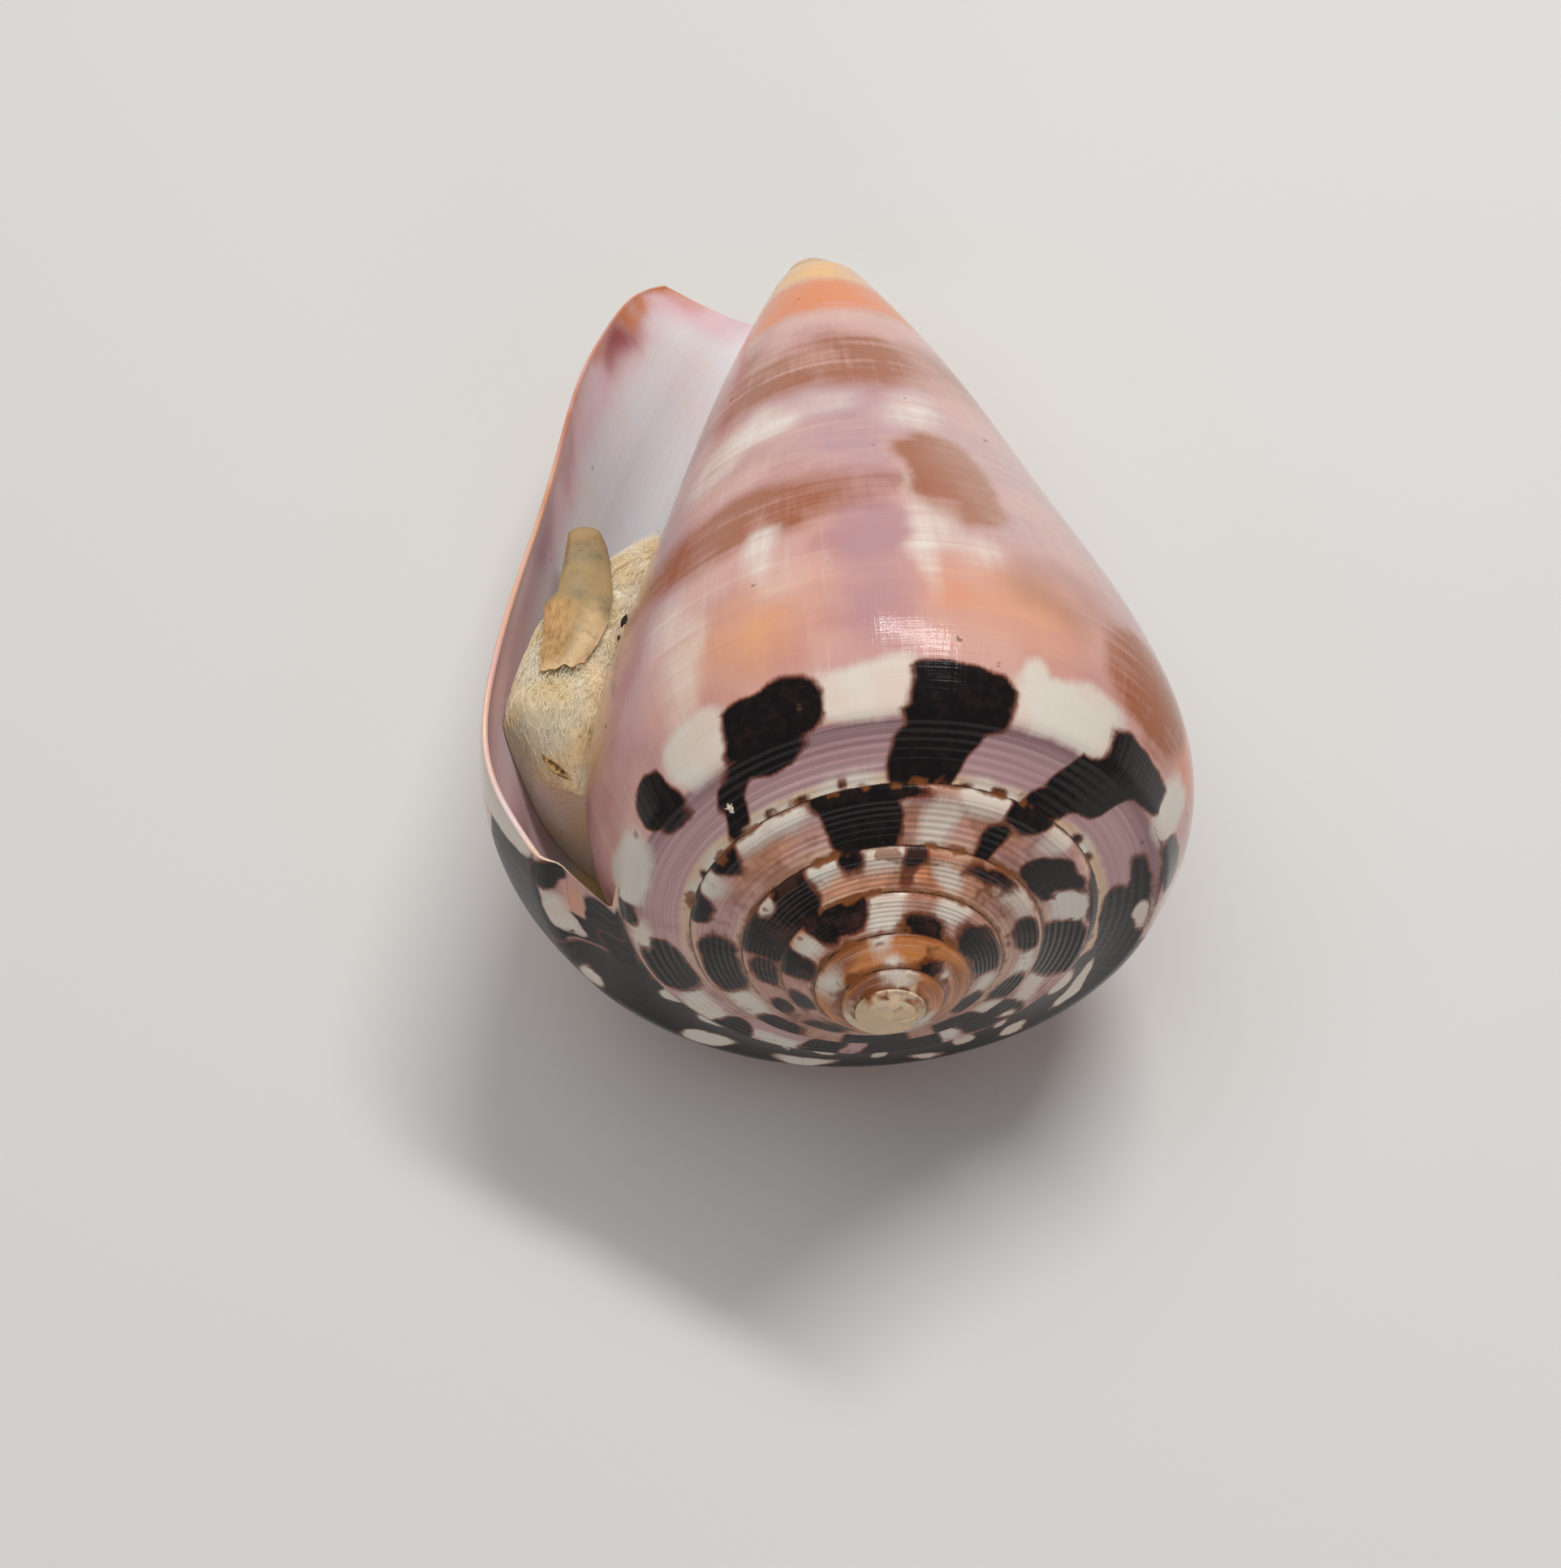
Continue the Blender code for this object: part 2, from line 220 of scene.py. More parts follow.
    def wall_thickness(self, turn: Array, fraction: Array) -> Array:
        """Thickness of the last whorl's wall, which is thin at the tip and at the lip's edge."""
        thin = self.wall_at_tip - self.wall
        thickness = self.wall + thin * smoothstep(fraction / self.wall_thin_by)
        edge = self.lip_edge_share
        return thickness * (edge + (1.0 - edge) * smoothstep(-turn / self.lip_edge_taper))

    def inner_flank(self, turn: Array, fraction: Array) -> tuple[Array, Array]:
        """Radius and height of the inside of the wall."""
        before = self.flank(turn, np.maximum(fraction - self.slope_step, 0.0))
        after = self.flank(turn, np.minimum(fraction + self.slope_step, 1.0))
        run = after[0] - before[0]
        drop = after[1] - before[1]
        length = np.hypot(run, drop)
        radius, height = self.flank(turn, fraction)
        thickness = self.wall_thickness(turn, fraction)
        return radius + drop / length * thickness, height - run / length * thickness

    def flank_lead(self, turn: Array, fraction: Array) -> Array:
        """Turns by which the lip's edge leads on the flank."""
        reach = smoothstep(1.0 + turn / self.lip_reach)
        corner = np.exp(-(((fraction - self.lip_corner_place) / self.lip_corner_width) ** 2))
        return (self.lip_bulge * 4.0 * fraction * (1.0 - fraction) + self.lip_corner_lead * corner) * reach

    def ramp_lead(self, turn: Array, across: Array) -> Array:
        """Turns by which the lip's edge lags on the ramp, in the notch."""
        fall = smoothstep(across / self.notch_side)
        rise = 1.0 - np.clip((across - self.notch_place) / self.notch_reach, 0.0, 1.0)
        reach = smoothstep(1.0 + turn / self.lip_reach)
        return -self.notch_turns * fall * rise * reach

    def place(self, turn: Array, radius: Array, height: Array, lead: Array | float = 0.0) -> Array:
        """Points in the shell's own frame."""
        azimuth = self.lip_azimuth - 2.0 * math.pi * (turn + lead)
        parts = np.broadcast_arrays(radius * np.cos(azimuth), radius * np.sin(azimuth), height)
        return np.stack(parts, -1)

    def ramp(self, turn: Array, across: Array) -> tuple[Array, Array]:
        """Radius and height on the ramp, from the suture at 0 to the shoulder at 1."""
        suture_radius, suture_height = self.flank(turn - 1.0, self.suture_fraction(turn - 1.0))
        radius, height = self.shoulder(turn)
        sag = self.ramp_sag * radius * np.sin(math.pi * across)
        ramp_radius = suture_radius + (radius - suture_radius) * across
        return ramp_radius, suture_height + (height - suture_height) * across - sag

    def section(self, turn: Array, place: Array) -> tuple[Array, Array]:
        """Radius and height of the outer surface at section places from -1 to 1."""
        ramp_radius, ramp_height = self.ramp(turn, np.clip(place + 1.0, 0.0, 1.0))
        radius, height = self.flank(turn, np.clip(place, 0.0, 1.0))
        on_ramp = place < 0.0
        return np.where(on_ramp, ramp_radius, radius), np.where(on_ramp, ramp_height, height)

    def down(self, turn: Array, place: Array) -> Array:
        """Length in metres from the shoulder down the section, negative on the ramp."""
        radius, height = self.ramp(turn, np.zeros_like(turn))
        shoulder_radius, shoulder_height = self.shoulder(turn)
        ramp = np.hypot(shoulder_radius - radius, shoulder_height - height)
        flank = place * self.flank_length(turn) * self.flank_slack
        return np.where(place < 0.0, place * ramp, flank)

    def rounded(self, turn: Array, place: Array) -> tuple[Array, Array]:
        """The outer section with its shoulder rounded."""
        rounding = self.shoulder_rounding * self.growth(turn)
        length = self.down(turn, place)
        near = np.clip(1.0 - np.abs(length) / (self.rounding_reach * rounding), 0.0, 1.0)
        ramp_run = -self.down(turn, np.full_like(place, -1.0))
        flank_run = self.down(turn, np.ones_like(place))
        radius, height = self.section(turn, place)
        parts = [np.zeros_like(radius), np.zeros_like(height)]
        for sign in (-1.0, 1.0):
            moved = length + sign * rounding * near
            there = np.where(moved < 0.0, moved / ramp_run, moved / flank_run)
            moved_radius, moved_height = self.section(turn, there)
            parts[0] = parts[0] + moved_radius
            parts[1] = parts[1] + moved_height
        return (radius + parts[0]) / 3.0, (height + parts[1]) / 3.0

    def rest(self) -> Matrix:
        """Turns the shell on its side and sets it on the floor, as the solid is."""
        turned = Matrix.Rotation(math.pi / 2.0 - self.rest_tilt, 4, "X")
        count = round(self.spire_turns * self.solid_steps) + 1
        turn = np.linspace(-self.spire_turns, 0.0, count)[:, None]
        across = np.array([[0.0, 0.5]])
        corner = self.corner_fraction(turn)
        steps = np.linspace(0.0, 1.0, self.solid_flank_steps + 1)[None, :] ** self.solid_grading
        flank = corner + (1.0 - corner) * steps
        fraction = np.concatenate([0.0 * turn, self.suture_fraction(turn), flank], 1)
        rows = [
            self.place(turn, *self.ramp(turn, across), 0.0),
            self.place(turn, *self.flank(turn, fraction), self.flank_lead(turn, fraction)),
        ]
        surface = np.concatenate(rows, 1).reshape(-1, 3)
        points = np.vstack([surface, (0.0, 0.0, -self.apex_dome)]) @ np.array(turned.to_3x3()).T
        low = points.min(0)
        middle = (low + points.max(0)) / 2.0
        return Matrix.Translation((-middle[0], -middle[1], -low[2] - self.flat_depth)) @ turned


FORM = ShellForm()
REST = FORM.rest()


def to_world(points: Array) -> Array:
    """Moves points from the shell's own frame to where the shell lies."""
    matrix = np.array(REST)
    return points @ matrix[:3, :3].T + matrix[:3, 3]


@dataclass(frozen=True)
class Hollow:
    """The space between the body whorl and the outer wall, and the plug that fills its middle."""

    fit_gap: float = 0.0003
    plug_bottom: float = 0.06
    plug_top: float = 0.475
    plug_top_slant: float = 0.08
    plug_top_drop: float = 0.15
    plug_front: float = 0.015
    plug_side_depth: float = 0.01
    plug_end_depth: float = 0.02
    plug_back: float = 0.12
    soft_bottom: float = 0.172
    corner_rise: float = 0.004
    top_rise: float = 0.042
    lip_sink: float = 0.005
    lip_sink_start: float = 0.62
    foot_sink: float = 0.034
    foot_height: float = 0.15
    mean_radius: float = 0.02

    def point(self, turn: Array, fraction: Array, across: Array, gap: float | None = None) -> Array:
        """A point of the hollow.

        Args:
            turn: Its turn.
            fraction: Its flank fraction.
            across: 0 at the body whorl and 1 at the outer wall.
            gap: Clearance kept from both walls, in metres.

        Returns:
            The point in the shell's own frame.
        """
        gap = self.fit_gap if gap is None else gap
        lead = FORM.flank_lead(turn, fraction)
        core_radius, core_height = FORM.flank(turn + lead - 1.0, fraction)
        wall_radius, wall_height = FORM.inner_flank(turn, fraction)
        width = np.hypot(wall_radius - core_radius, wall_height - core_height)
        share = gap / width + (1.0 - 2.0 * gap / width) * across
        radius = core_radius + (wall_radius - core_radius) * share
        height = core_height + (wall_height - core_height) * share
        return FORM.place(turn, radius, height, lead)

    def top(self, across: Array) -> Array:
        """Flank fraction of the plug's upper end."""
        beside_body = self.top_rise * smoothstep(1.0 - across / 0.5)
        return self.plug_top - self.plug_top_slant * across - self.plug_top_drop * across**4 + beside_body

    def foot(self, across: Array) -> Array:
        """Flank fraction of the soft lower end."""
        return self.soft_bottom + self.corner_rise * smoothstep((across - 0.55) / 0.45)

    def front(self, fraction: Array, across: Array) -> Array:
        """Turn of the plug's front."""
        height = (fraction - self.plug_bottom) / (self.top(across) - self.plug_bottom)
        side = self.plug_side_depth * (2.0 * across - 1.0) ** 4
        end = self.plug_end_depth * (2.0 * height - 1.0) ** 6
        return -(self.plug_front + side + end)

    def soft_front(self, fraction: Array, across: Array) -> Array:
        """Turn of the soft front, which sinks in beside the lip and at its foot."""
        bottom = self.foot(across)
        height = np.clip((fraction - bottom) / (self.top(across) - bottom), 0.0, 1.0)
        beside = self.lip_sink * smoothstep((across - self.lip_sink_start) / (1.0 - self.lip_sink_start))
        foot = self.foot_sink * np.clip(1.0 - height / self.foot_height, 0.0, 1.0) ** 1.6
        return self.front(fraction, across) - beside - foot


HOLLOW = Hollow()


def lumps(points: Array, size: float, seed: int, waves: int = 14) -> Array:
    """Smooth lumps between about -1 and 1.

    Args:
        points: Points, in metres.
        size: Width of a lump, in metres.
        seed: Picks the lumps.
        waves: How many waves are laid over each other.

    Returns:
        One height for each point.
    """
    random = np.random.default_rng(seed)
    total = np.zeros(points.shape[:-1])
    for _ in range(waves):
        heading = random.normal(size=3)
        heading *= math.pi / size / np.linalg.norm(heading) * random.uniform(0.6, 1.6)
        total += np.sin(points @ heading + random.uniform(0.0, 2.0 * math.pi))
    return total / math.sqrt(waves)


@dataclass(frozen=True)
class Mark:
    """A patch of colour on the shell, as a rounded box between two turns and two section places."""

    first: float
    last: float
    top: float
    bottom: float
    square: float = 2.6
    slant: float = 0.0
    strength: float = 1.0
    soft: float = 1.2

    def distance(self, turn: Array, down: Array, girth: Array) -> Array:
        """How far inside the mark each place is, in millimetres, and negative outside it.

        Args:
            turn: Turn of each place.
            down: Length down the section of each place, in metres.
            girth: Length of one turn there, in metres.

        Returns:
            The signed distances.
        """
        top = FORM.down(turn, np.full_like(turn, self.top))
        bottom = FORM.down(turn, np.full_like(turn, self.bottom))
        half_height = (bottom - top) / 2.0
        y = down - (top + bottom) / 2.0
        middle = (self.first + self.last) / 2.0 + self.slant * y / (2.0 * half_height)
        half_width = (self.last - self.first) / 2.0 * girth
        x = (turn - middle) * girth
        power = self.square
        reach = (np.abs(x / half_width) ** power + np.abs(y / half_height) ** power) ** (1.0 / power)
        return (1.0 - reach) * np.minimum(half_width, half_height) / MM


@dataclass
class ShellPattern:
    """The markings of the shell, as lists of marks by colour. Those of the inside have inner_ before it."""

    broad_warp: float = 0.00030
    small_warp: float = 0.00012
    wash_warp: float = 0.0005
    marks: dict[str, list[Mark]] = field(default_factory=lambda: defaultdict(list))

    def __post_init__(self) -> None:
        """Fills the lists, from the last whorl to the apex."""
        self._last_whorl_shoulder()
        self._far_ramp()
        self._second_whorl()
        self._third_whorl()
        self._early_whorls()
        self._flank_washes()
        self._unseen_flank()
        self._inside()

    def _blot(self, colour: str, rows: Rows) -> None:
        """Adds firm marks: first and last turn, top, bottom, squareness, slant and strength."""
        self.marks[colour] += [Mark(*row) for row in rows]

    def _wash(self, colour: str, rows: Rows) -> None:
        """Adds soft marks: first and last turn, top, bottom, strength, softness, squareness and slant."""
        for row in rows:
            soft, square, slant = row[5:] + (1.2, 2.6, 0.0)[len(row) - 5 :]
            self.marks[colour].append(Mark(*row[:4], square, slant, row[4], soft))

    def _last_whorl_shoulder(self) -> None:
        """Black blotches and white gaps along the shoulder of the last whorl."""
        self._blot("dark", (
            (-0.94, -0.908, -0.23, 0.034, 2.2, -0.004), (-0.934, -0.914, -0.36, -0.14, 2.2),
            (-0.864, -0.8035, -0.16, 0.041, 3.4), (-0.872, -0.822, -0.4, -0.08, 3),
            (-0.893, -0.862, -0.62, -0.22, 2.6, 0.02), (-0.9, -0.877, -1.02, -0.5, 2.6, 0.016),
            (-0.76, -0.7035, -0.34, 0.042, 3.2), (-0.76, -0.74, 0.0, 0.04, 4),
            (-0.766, -0.718, -1.1, -0.1, 4, 0.012), (-0.64, -0.576, -0.07, 0.04, 2.4, 0.006),
            (-0.656, -0.604, -0.8, 0.02, 3, 0.01), (-0.664, -0.63, -1.1, -0.62, 2.6, 0.01),
            (-0.553, -0.512, -0.03, 0.026, 2.2, 0.012), (-0.553, -0.5, -0.54, -0.18, 2.6, 0.02),
            (-0.552, -0.512, -0.075, -0.02), (-0.531, -0.452, -0.9, -0.1, 2.8, 0.02),
        ))
        self._blot("pale", (
            (-1.006, -0.948, -0.3, 0.024, 2.6, 0.0, 0.8), (-0.905, -0.86, -0.03, 0.046, 3.2),
            (-0.806, -0.755, -0.02, 0.047, 3.6), (-0.706, -0.635, -0.05, 0.049, 3.6),
            (-0.704, -0.684, 0.03, 0.064, 2, 0.0, 0.2), (-0.672, -0.652, 0.03, 0.058, 2, 0.0, 0.2),
            (-0.582, -0.553, -0.12, 0.05, 3), (-0.515, -0.484, -0.36, -0.04, 2.2, 0.02),
            (-0.512, -0.478, 0.0, 0.045),
        ))
        for turn in (-0.963, -0.925, -0.885, -0.857, -0.815, -0.79, -0.7, -0.672, -0.594):
            self._blot("pale", ((turn - 0.015, turn + 0.015, -1.1, -0.86, 2.2, 0.0, 0.5),))
        for turn in (-0.975, -0.942, -0.862, -0.838, -0.802, -0.712, -0.686, -0.642, -0.606, -0.58):
            self._blot("dark", ((turn - 0.0045, turn + 0.0045, -1.05, -0.92, 2.2),))
        for turn, top, width in ((-0.965, 0.01, 0.0014), (-0.95, 0.004, 0.0022)):
            self._blot("dark", ((turn - width, turn + width, top, top + 0.01, 2, 0.0, 0.7),))

    def _far_ramp(self) -> None:
        """The black half of the last whorl's ramp, with its pale patches, up to the lip."""
        self._blot("dark", (
            (-0.47, -0.33, -1.1, 0.03, 5), (-0.345, -0.185, -1.1, 0.022, 5),
            (-0.235, -0.062, -1.1, 0.03, 4), (-0.085, -0.034, -1.1, -0.6, 3),
            (-0.022, 0.004, -0.26, 0.01, 2.2), (-0.01, 0.004, -0.34, -0.1, 2),
        ))
        self._wash("slate", (
            (-0.15, 0.01, -0.06, 0.075, 0.9, 0.5, 2.8, -0.004),
            (-0.075, -0.004, -0.98, -0.54, 0.95, 0.4, 3), (-0.058, -0.036, -1.1, 0.03, 0.95, 0.4, 3),
        ))
        self._wash("peach", (
            (-0.038, -0.002, -0.58, -0.26, 0.62, 0.7),
        ))
        self._blot("pale", (
            (-0.437, -0.408, -0.74, -0.17, 2.6, 0.055), (-0.44, -0.412, -1.05, -0.68, 2.6, 0.02),
            (-0.38, -0.354, -0.52, -0.13, 2.4, 0.01), (-0.372, -0.358, -0.92, -0.6, 2.4, 0.01),
            (-0.342, -0.325, -0.84, -0.38, 2.4), (-0.319, -0.292, -0.33, -0.11, 3),
            (-0.31, -0.296, -1.0, -0.62, 2.4, 0.012), (-0.284, -0.269, -0.66, -0.28, 2.4),
            (-0.256, -0.21, -0.43, -0.11, 2.8), (-0.246, -0.23, -0.95, -0.52, 2.4, -0.012),
            (-0.218, -0.206, -0.95, -0.52, 2.4, -0.012), (-0.189, -0.155, -0.56, -0.02, 2.6, 0.006),
            (-0.165, -0.14, -1.08, -0.7, 2.6, -0.01), (-0.126, -0.104, -1.08, -0.72, 2.4, -0.01),
            (-0.106, -0.08, -0.2, 0.01, 2.4, -0.005), (-0.052, -0.026, -0.36, -0.05, 2.6, 0.008),
            (-0.018, 0.02, 0.012, 0.16, 2.4, 0.0, 0.7),
        ))
        for turn, width, drop in ((-0.430, 0.016, 0.052), (-0.322, 0.014, 0.046), (-0.232, 0.018, 0.055)):
            self._blot("pale", ((turn - width, turn + width, 0.004, drop, 2.8),))

    def _second_whorl(self) -> None:
        """Blotches of the whorl before the last."""
        self._blot("dark", (
            (-1.827, -1.764, -1.1, 0.03, 4), (-1.834, -1.746, -0.2, 0.03, 3),
            (-1.993, -1.957, -0.26, 0.03, 2.4), (-1.024, -1.004, -0.16, 0.012, 3),
            (-1.931, -1.903, -0.3, 0.03, 2.4), (-1.673, -1.634, -0.3, 0.03, 2.4, 0.012),
            (-1.684, -1.663, -1.1, -0.36, 3, 0.006), (-1.614, -1.56, -0.96, -0.08, 3.6, 0.026),
            (-1.53, -1.452, -1.1, -0.12, 3.6, 0.02), (-1.562, -1.454, -0.1, 0.02, 3),
            (-1.41, -1.345, -1.1, -0.05, 3.4), (-1.325, -1.262, -0.9, 0.02, 3.4),
            (-1.245, -1.215, -1.0, 0.02, 3), (-1.176, -1.145, -0.56, 0.02, 2.6, -0.01),
            (-1.099, -1.038, -0.8, -0.04, 2.8),
        ))
        self._blot("pale", (
            (-1.957, -1.933, -0.24, 0.03, 2.8), (-1.902, -1.834, -0.2, 0.03, 3.4),
            (-1.742, -1.714, -0.96, -0.02, 2.6, 0.012), (-1.712, -1.673, -0.26, 0.03, 2.8),
            (-1.632, -1.61, -0.3, 0.03), (-1.566, -1.52, -0.7, -0.1, 2.8, 0.022),
            (-1.452, -1.41, -0.8, -0.3, 2.6, 0.028), (-1.4, -1.378, -0.3, -0.06),
            (-1.345, -1.325, -0.75, -0.2, 2.6, 0.006), (-1.222, -1.172, -0.42, -0.08, 2.6, -0.012),
            (-1.146, -1.1, -0.66, -0.1, 2.8, -0.01), (-1.056, -1.022, -0.32, 0.0),
        ))
        self._wash("peach", (
            (-1.935, -1.826, -0.85, -0.22, 0.8, 0.9), (-1.764, -1.738, -0.85, -0.2, 0.5, 0.5, 3),
            (-1.716, -1.64, -0.85, -0.25, 0.6, 0.8, 3),
        ))

    def _third_whorl(self) -> None:
        """Blotches of the third whorl from the lip."""
        self._blot("dark", (
            (-3.005, -2.862, -1.1, 0.03, 5), (-2.824, -2.799, -0.26, 0.03),
            (-2.758, -2.736, -0.55, 0.03), (-2.676, -2.62, -0.3, 0.0), (-2.563, -2.511, -0.72, -0.05, 3),
            (-2.468, -2.419, -0.62, -0.1, 3), (-2.392, -2.33, -0.7, 0.02, 3),
            (-2.3, -2.236, -0.85, 0.02, 3), (-2.193, -2.144, -0.62, -0.05, 2.8),
            (-2.092, -2.004, -0.85, -0.08, 3.2),
        ))
        self._blot("pale", (
            (-2.942, -2.904, -0.36, 0.03, 2.8), (-2.86, -2.824, -0.26, 0.03, 3),
            (-2.8, -2.757, -0.36, 0.03, 3), (-2.712, -2.682, -0.75, -0.25, 2.2, -0.02),
            (-2.62, -2.562, -0.46, -0.05, 3), (-2.516, -2.464, -0.6, -0.15, 3),
            (-2.426, -2.39, -0.46, -0.12), (-2.148, -2.09, -0.7, -0.15, 2.8),
        ))
        self._wash("peach", (
            (-2.864, -2.735, -1.0, -0.2, 1.0, 0.5, 3), (-2.735, -2.64, -0.9, -0.1, 0.8, 0.5),
        ))
        self._wash("orange", (
            (-2.742, -2.69, -0.9, 0.0, 0.35, 0.5, 2.2, -0.02),
        ))

    def _early_whorls(self) -> None:
        """Blotches of the small whorls round the apex."""
        self._blot("dark", (
            (-4.01, -3.948, -1.1, 0.02, 3), (-3.902, -3.8, -0.9, 0.03, 3.4),
            (-3.747, -3.66, -1.1, -0.5, 3), (-3.634, -3.5, -0.9, -0.05, 4),
            (-3.452, -3.395, -0.8, 0.0, 3), (-3.215, -3.165, -0.8, 0.0, 3),
            (-3.132, -3.096, -0.7, -0.05), (-3.055, -3.005, -0.8, -0.05, 2.8),
            (-4.684, -4.616, -1.1, -0.55, 2.8), (-4.225, -4.17, -0.7, 0.0), (-4.11, -4.052, -0.8, 0.0),
        ))
        self._blot("pale", (
            (-3.952, -3.903, -0.72, -0.05), (-3.802, -3.748, -1.1, 0.03, 3.4),
            (-3.69, -3.64, -0.52, 0.03, 2.4, 0.02), (-3.502, -3.452, -0.62, -0.15, 2.8),
            (-3.33, -3.262, -0.9, 0.0, 2.6, 0.0, 0.7), (-4.782, -4.733, -1.1, -0.58, 2.4, 0.0, 0.8),
            (-4.804, -4.764, -0.46, 0.03, 2.4, 0.0, 0.8), (-4.622, -4.57, -1.1, -0.55, 2.4, 0.0, 0.7),
            (-4.38, -4.23, -1.1, 0.1, 2.4, 0.0, 0.8), (-5.02, -4.92, -0.9, -0.1, 2.2, 0.0, 0.6),
            (-5.46, -5.3, -1.1, -0.2, 2.2, 0.0, 0.8), (-5.82, -5.66, -0.8, 0.1, 2.2, 0.0, 0.8),
            (-6.2, -6.02, -1.1, 0.0, 2.2, 0.0, 0.9), (-6.52, -6.38, -0.8, 0.1, 2.2, 0.0, 0.9),
        ))
        self._wash("orange", (
            (-4.1, -3.66, -0.3, 0.2, 0.5, 0.3, 3),
        ))

    def _flank_washes(self) -> None:
        """Soft washes of colour on the flank of the last whorl."""
        self._wash("brown", (
            (-0.905, -0.795, 0.222, 0.33, 0.9, 1.4, 3), (-0.746, -0.69, 0.225, 0.345, 1.0, 0.7, 3.4),
            (-0.742, -0.694, 0.32, 0.42, 0.95, 0.9, 3), (-0.8, -0.745, 0.245, 0.325, 0.45, 1.3, 3),
            (-0.955, -0.89, 0.24, 0.33, 0.6, 1.8), (-0.97, -0.7, 0.545, 0.682, 0.6, 1.8, 3.6),
            (-0.78, -0.715, 0.575, 0.672, 0.95, 1.6), (-0.768, -0.73, 0.53, 0.6, 0.7, 1.4),
            (-0.872, -0.795, 0.57, 0.645, 0.85, 1.5), (-0.645, -0.576, 0.04, 0.16, 0.95, 1.0),
            (-0.895, -0.858, 0.66, 0.72, 0.5), (-0.7, -0.64, 0.1, 0.2, 0.35, 1.6),
        ))
        self._wash("orange", (
            (-1.5, 0.5, 0.772, 0.892, 0.97, 1.5, 8), (-0.752, -0.722, 0.08, 0.13, 0.14, 0.9),
        ))
        self._wash("white", (
            (-0.842, -0.82, 0.162, 0.24, 0.9, 0.8, 2), (-0.835, -0.812, 0.12, 0.18, 0.35, 1.2, 2),
            (-0.752, -0.738, 0.115, 0.245, 0.62, 0.6, 2.4),
            (-0.745, -0.722, 0.17, 0.245, 0.55, 1.0, 2, 0.004),
            (-0.75, -0.744, 0.24, 0.33, 0.35, 0.5, 2), (-0.725, -0.7, 0.15, 0.2, 0.45, 1.0, 2),
            (-0.905, -0.85, 0.395, 0.5, 0.75, 1.3, 2, 0.01), (-0.86, -0.812, 0.45, 0.522, 0.7, 1.2, 2),
            (-0.81, -0.77, 0.475, 0.53, 0.35, 1.6, 2), (-0.75, -0.708, 0.43, 0.52, 0.55, 1.7, 2, 0.018),
            (-0.715, -0.64, 0.11, 0.55, 0.15, 2.6, 3), (-0.906, -0.874, 0.145, 0.205, 0.35),
            (-0.89, -0.864, 0.035, 0.17, 0.55, 1.0), (-0.96, -0.925, 0.7, 0.8, 0.45, 1.6),
        ))
        self._wash("cream", (
            (-0.887, -0.866, 0.035, 0.165, 0.25, 1.0), (-0.975, -0.945, 0.1, 0.16, 0.4),
            (-0.848, -0.824, 0.05, 0.12, 0.15, 1.4), (-1.5, 0.5, 0.9, 1.2, 0.95, 1.0, 10),
            (-0.03, 0.1, 0.03, 0.9, 0.55, 1.2, 5),
        ))
        self._wash("lilac", (
            (-0.79, -0.752, 0.075, 0.425, 0.65, 1.4, 3), (-0.812, -0.744, 0.345, 0.56, 0.6, 1.8),
            (-0.955, -0.885, 0.1, 0.36, 0.5, 2), (-0.84, -0.69, 0.395, 0.56, 0.4, 2, 3),
            (-0.72, -0.59, 0.13, 0.52, 0.4, 2.4, 3), (-0.925, -0.904, 0.04, 0.4, 0.5),
        ))
        self._wash("peach", (
            (-0.87, -0.805, 0.045, 0.155, 0.55, 2.4), (-0.75, -0.66, 0.06, 0.16, 0.55, 2.4),
        ))

    def _unseen_flank(self) -> None:
        """The side and underside that face away from the aperture, in the same manner."""
        self._wash("brown", (
            (-0.6, -0.53, 0.225, 0.385, 0.8, 1.6), (-0.455, -0.395, 0.215, 0.35, 0.9),
            (-0.33, -0.262, 0.235, 0.4, 0.85, 1.4), (-0.19, -0.128, 0.22, 0.36, 0.95),
            (-0.07, -0.01, 0.235, 0.39, 0.85, 1.4), (-0.7, 0.3, 0.545, 0.675, 0.6, 2.2, 6),
        ))
        self._wash("white", (
            (-0.56, -0.515, 0.405, 0.525, 0.9), (-0.52, -0.48, 0.12, 0.24, 0.8, 1.0),
            (-0.42, -0.365, 0.395, 0.52, 0.9), (-0.372, -0.345, 0.11, 0.235, 0.8, 1.0),
            (-0.275, -0.225, 0.41, 0.535, 0.9), (-0.232, -0.205, 0.125, 0.25, 0.8, 1.0),
            (-0.14, -0.095, 0.4, 0.52, 0.9), (-0.1, -0.074, 0.11, 0.23, 0.8, 1.0),
            (-0.02, 0.02, 0.42, 0.53, 0.8),
        ))
        for shift in (0.18, 0.33, 0.47, 0.61, 0.74):
            self._wash("orange", ((shift - 0.762, shift - 0.716, 0.055, 0.15, 0.55, 1.4),))
            self._wash("lilac", ((shift - 0.792, shift - 0.752, 0.08, 0.5, 0.6, 1.6, 3),))
            self._wash("brown", ((shift - 0.77, shift - 0.722, 0.545, 0.665, 0.8, 1.8),))

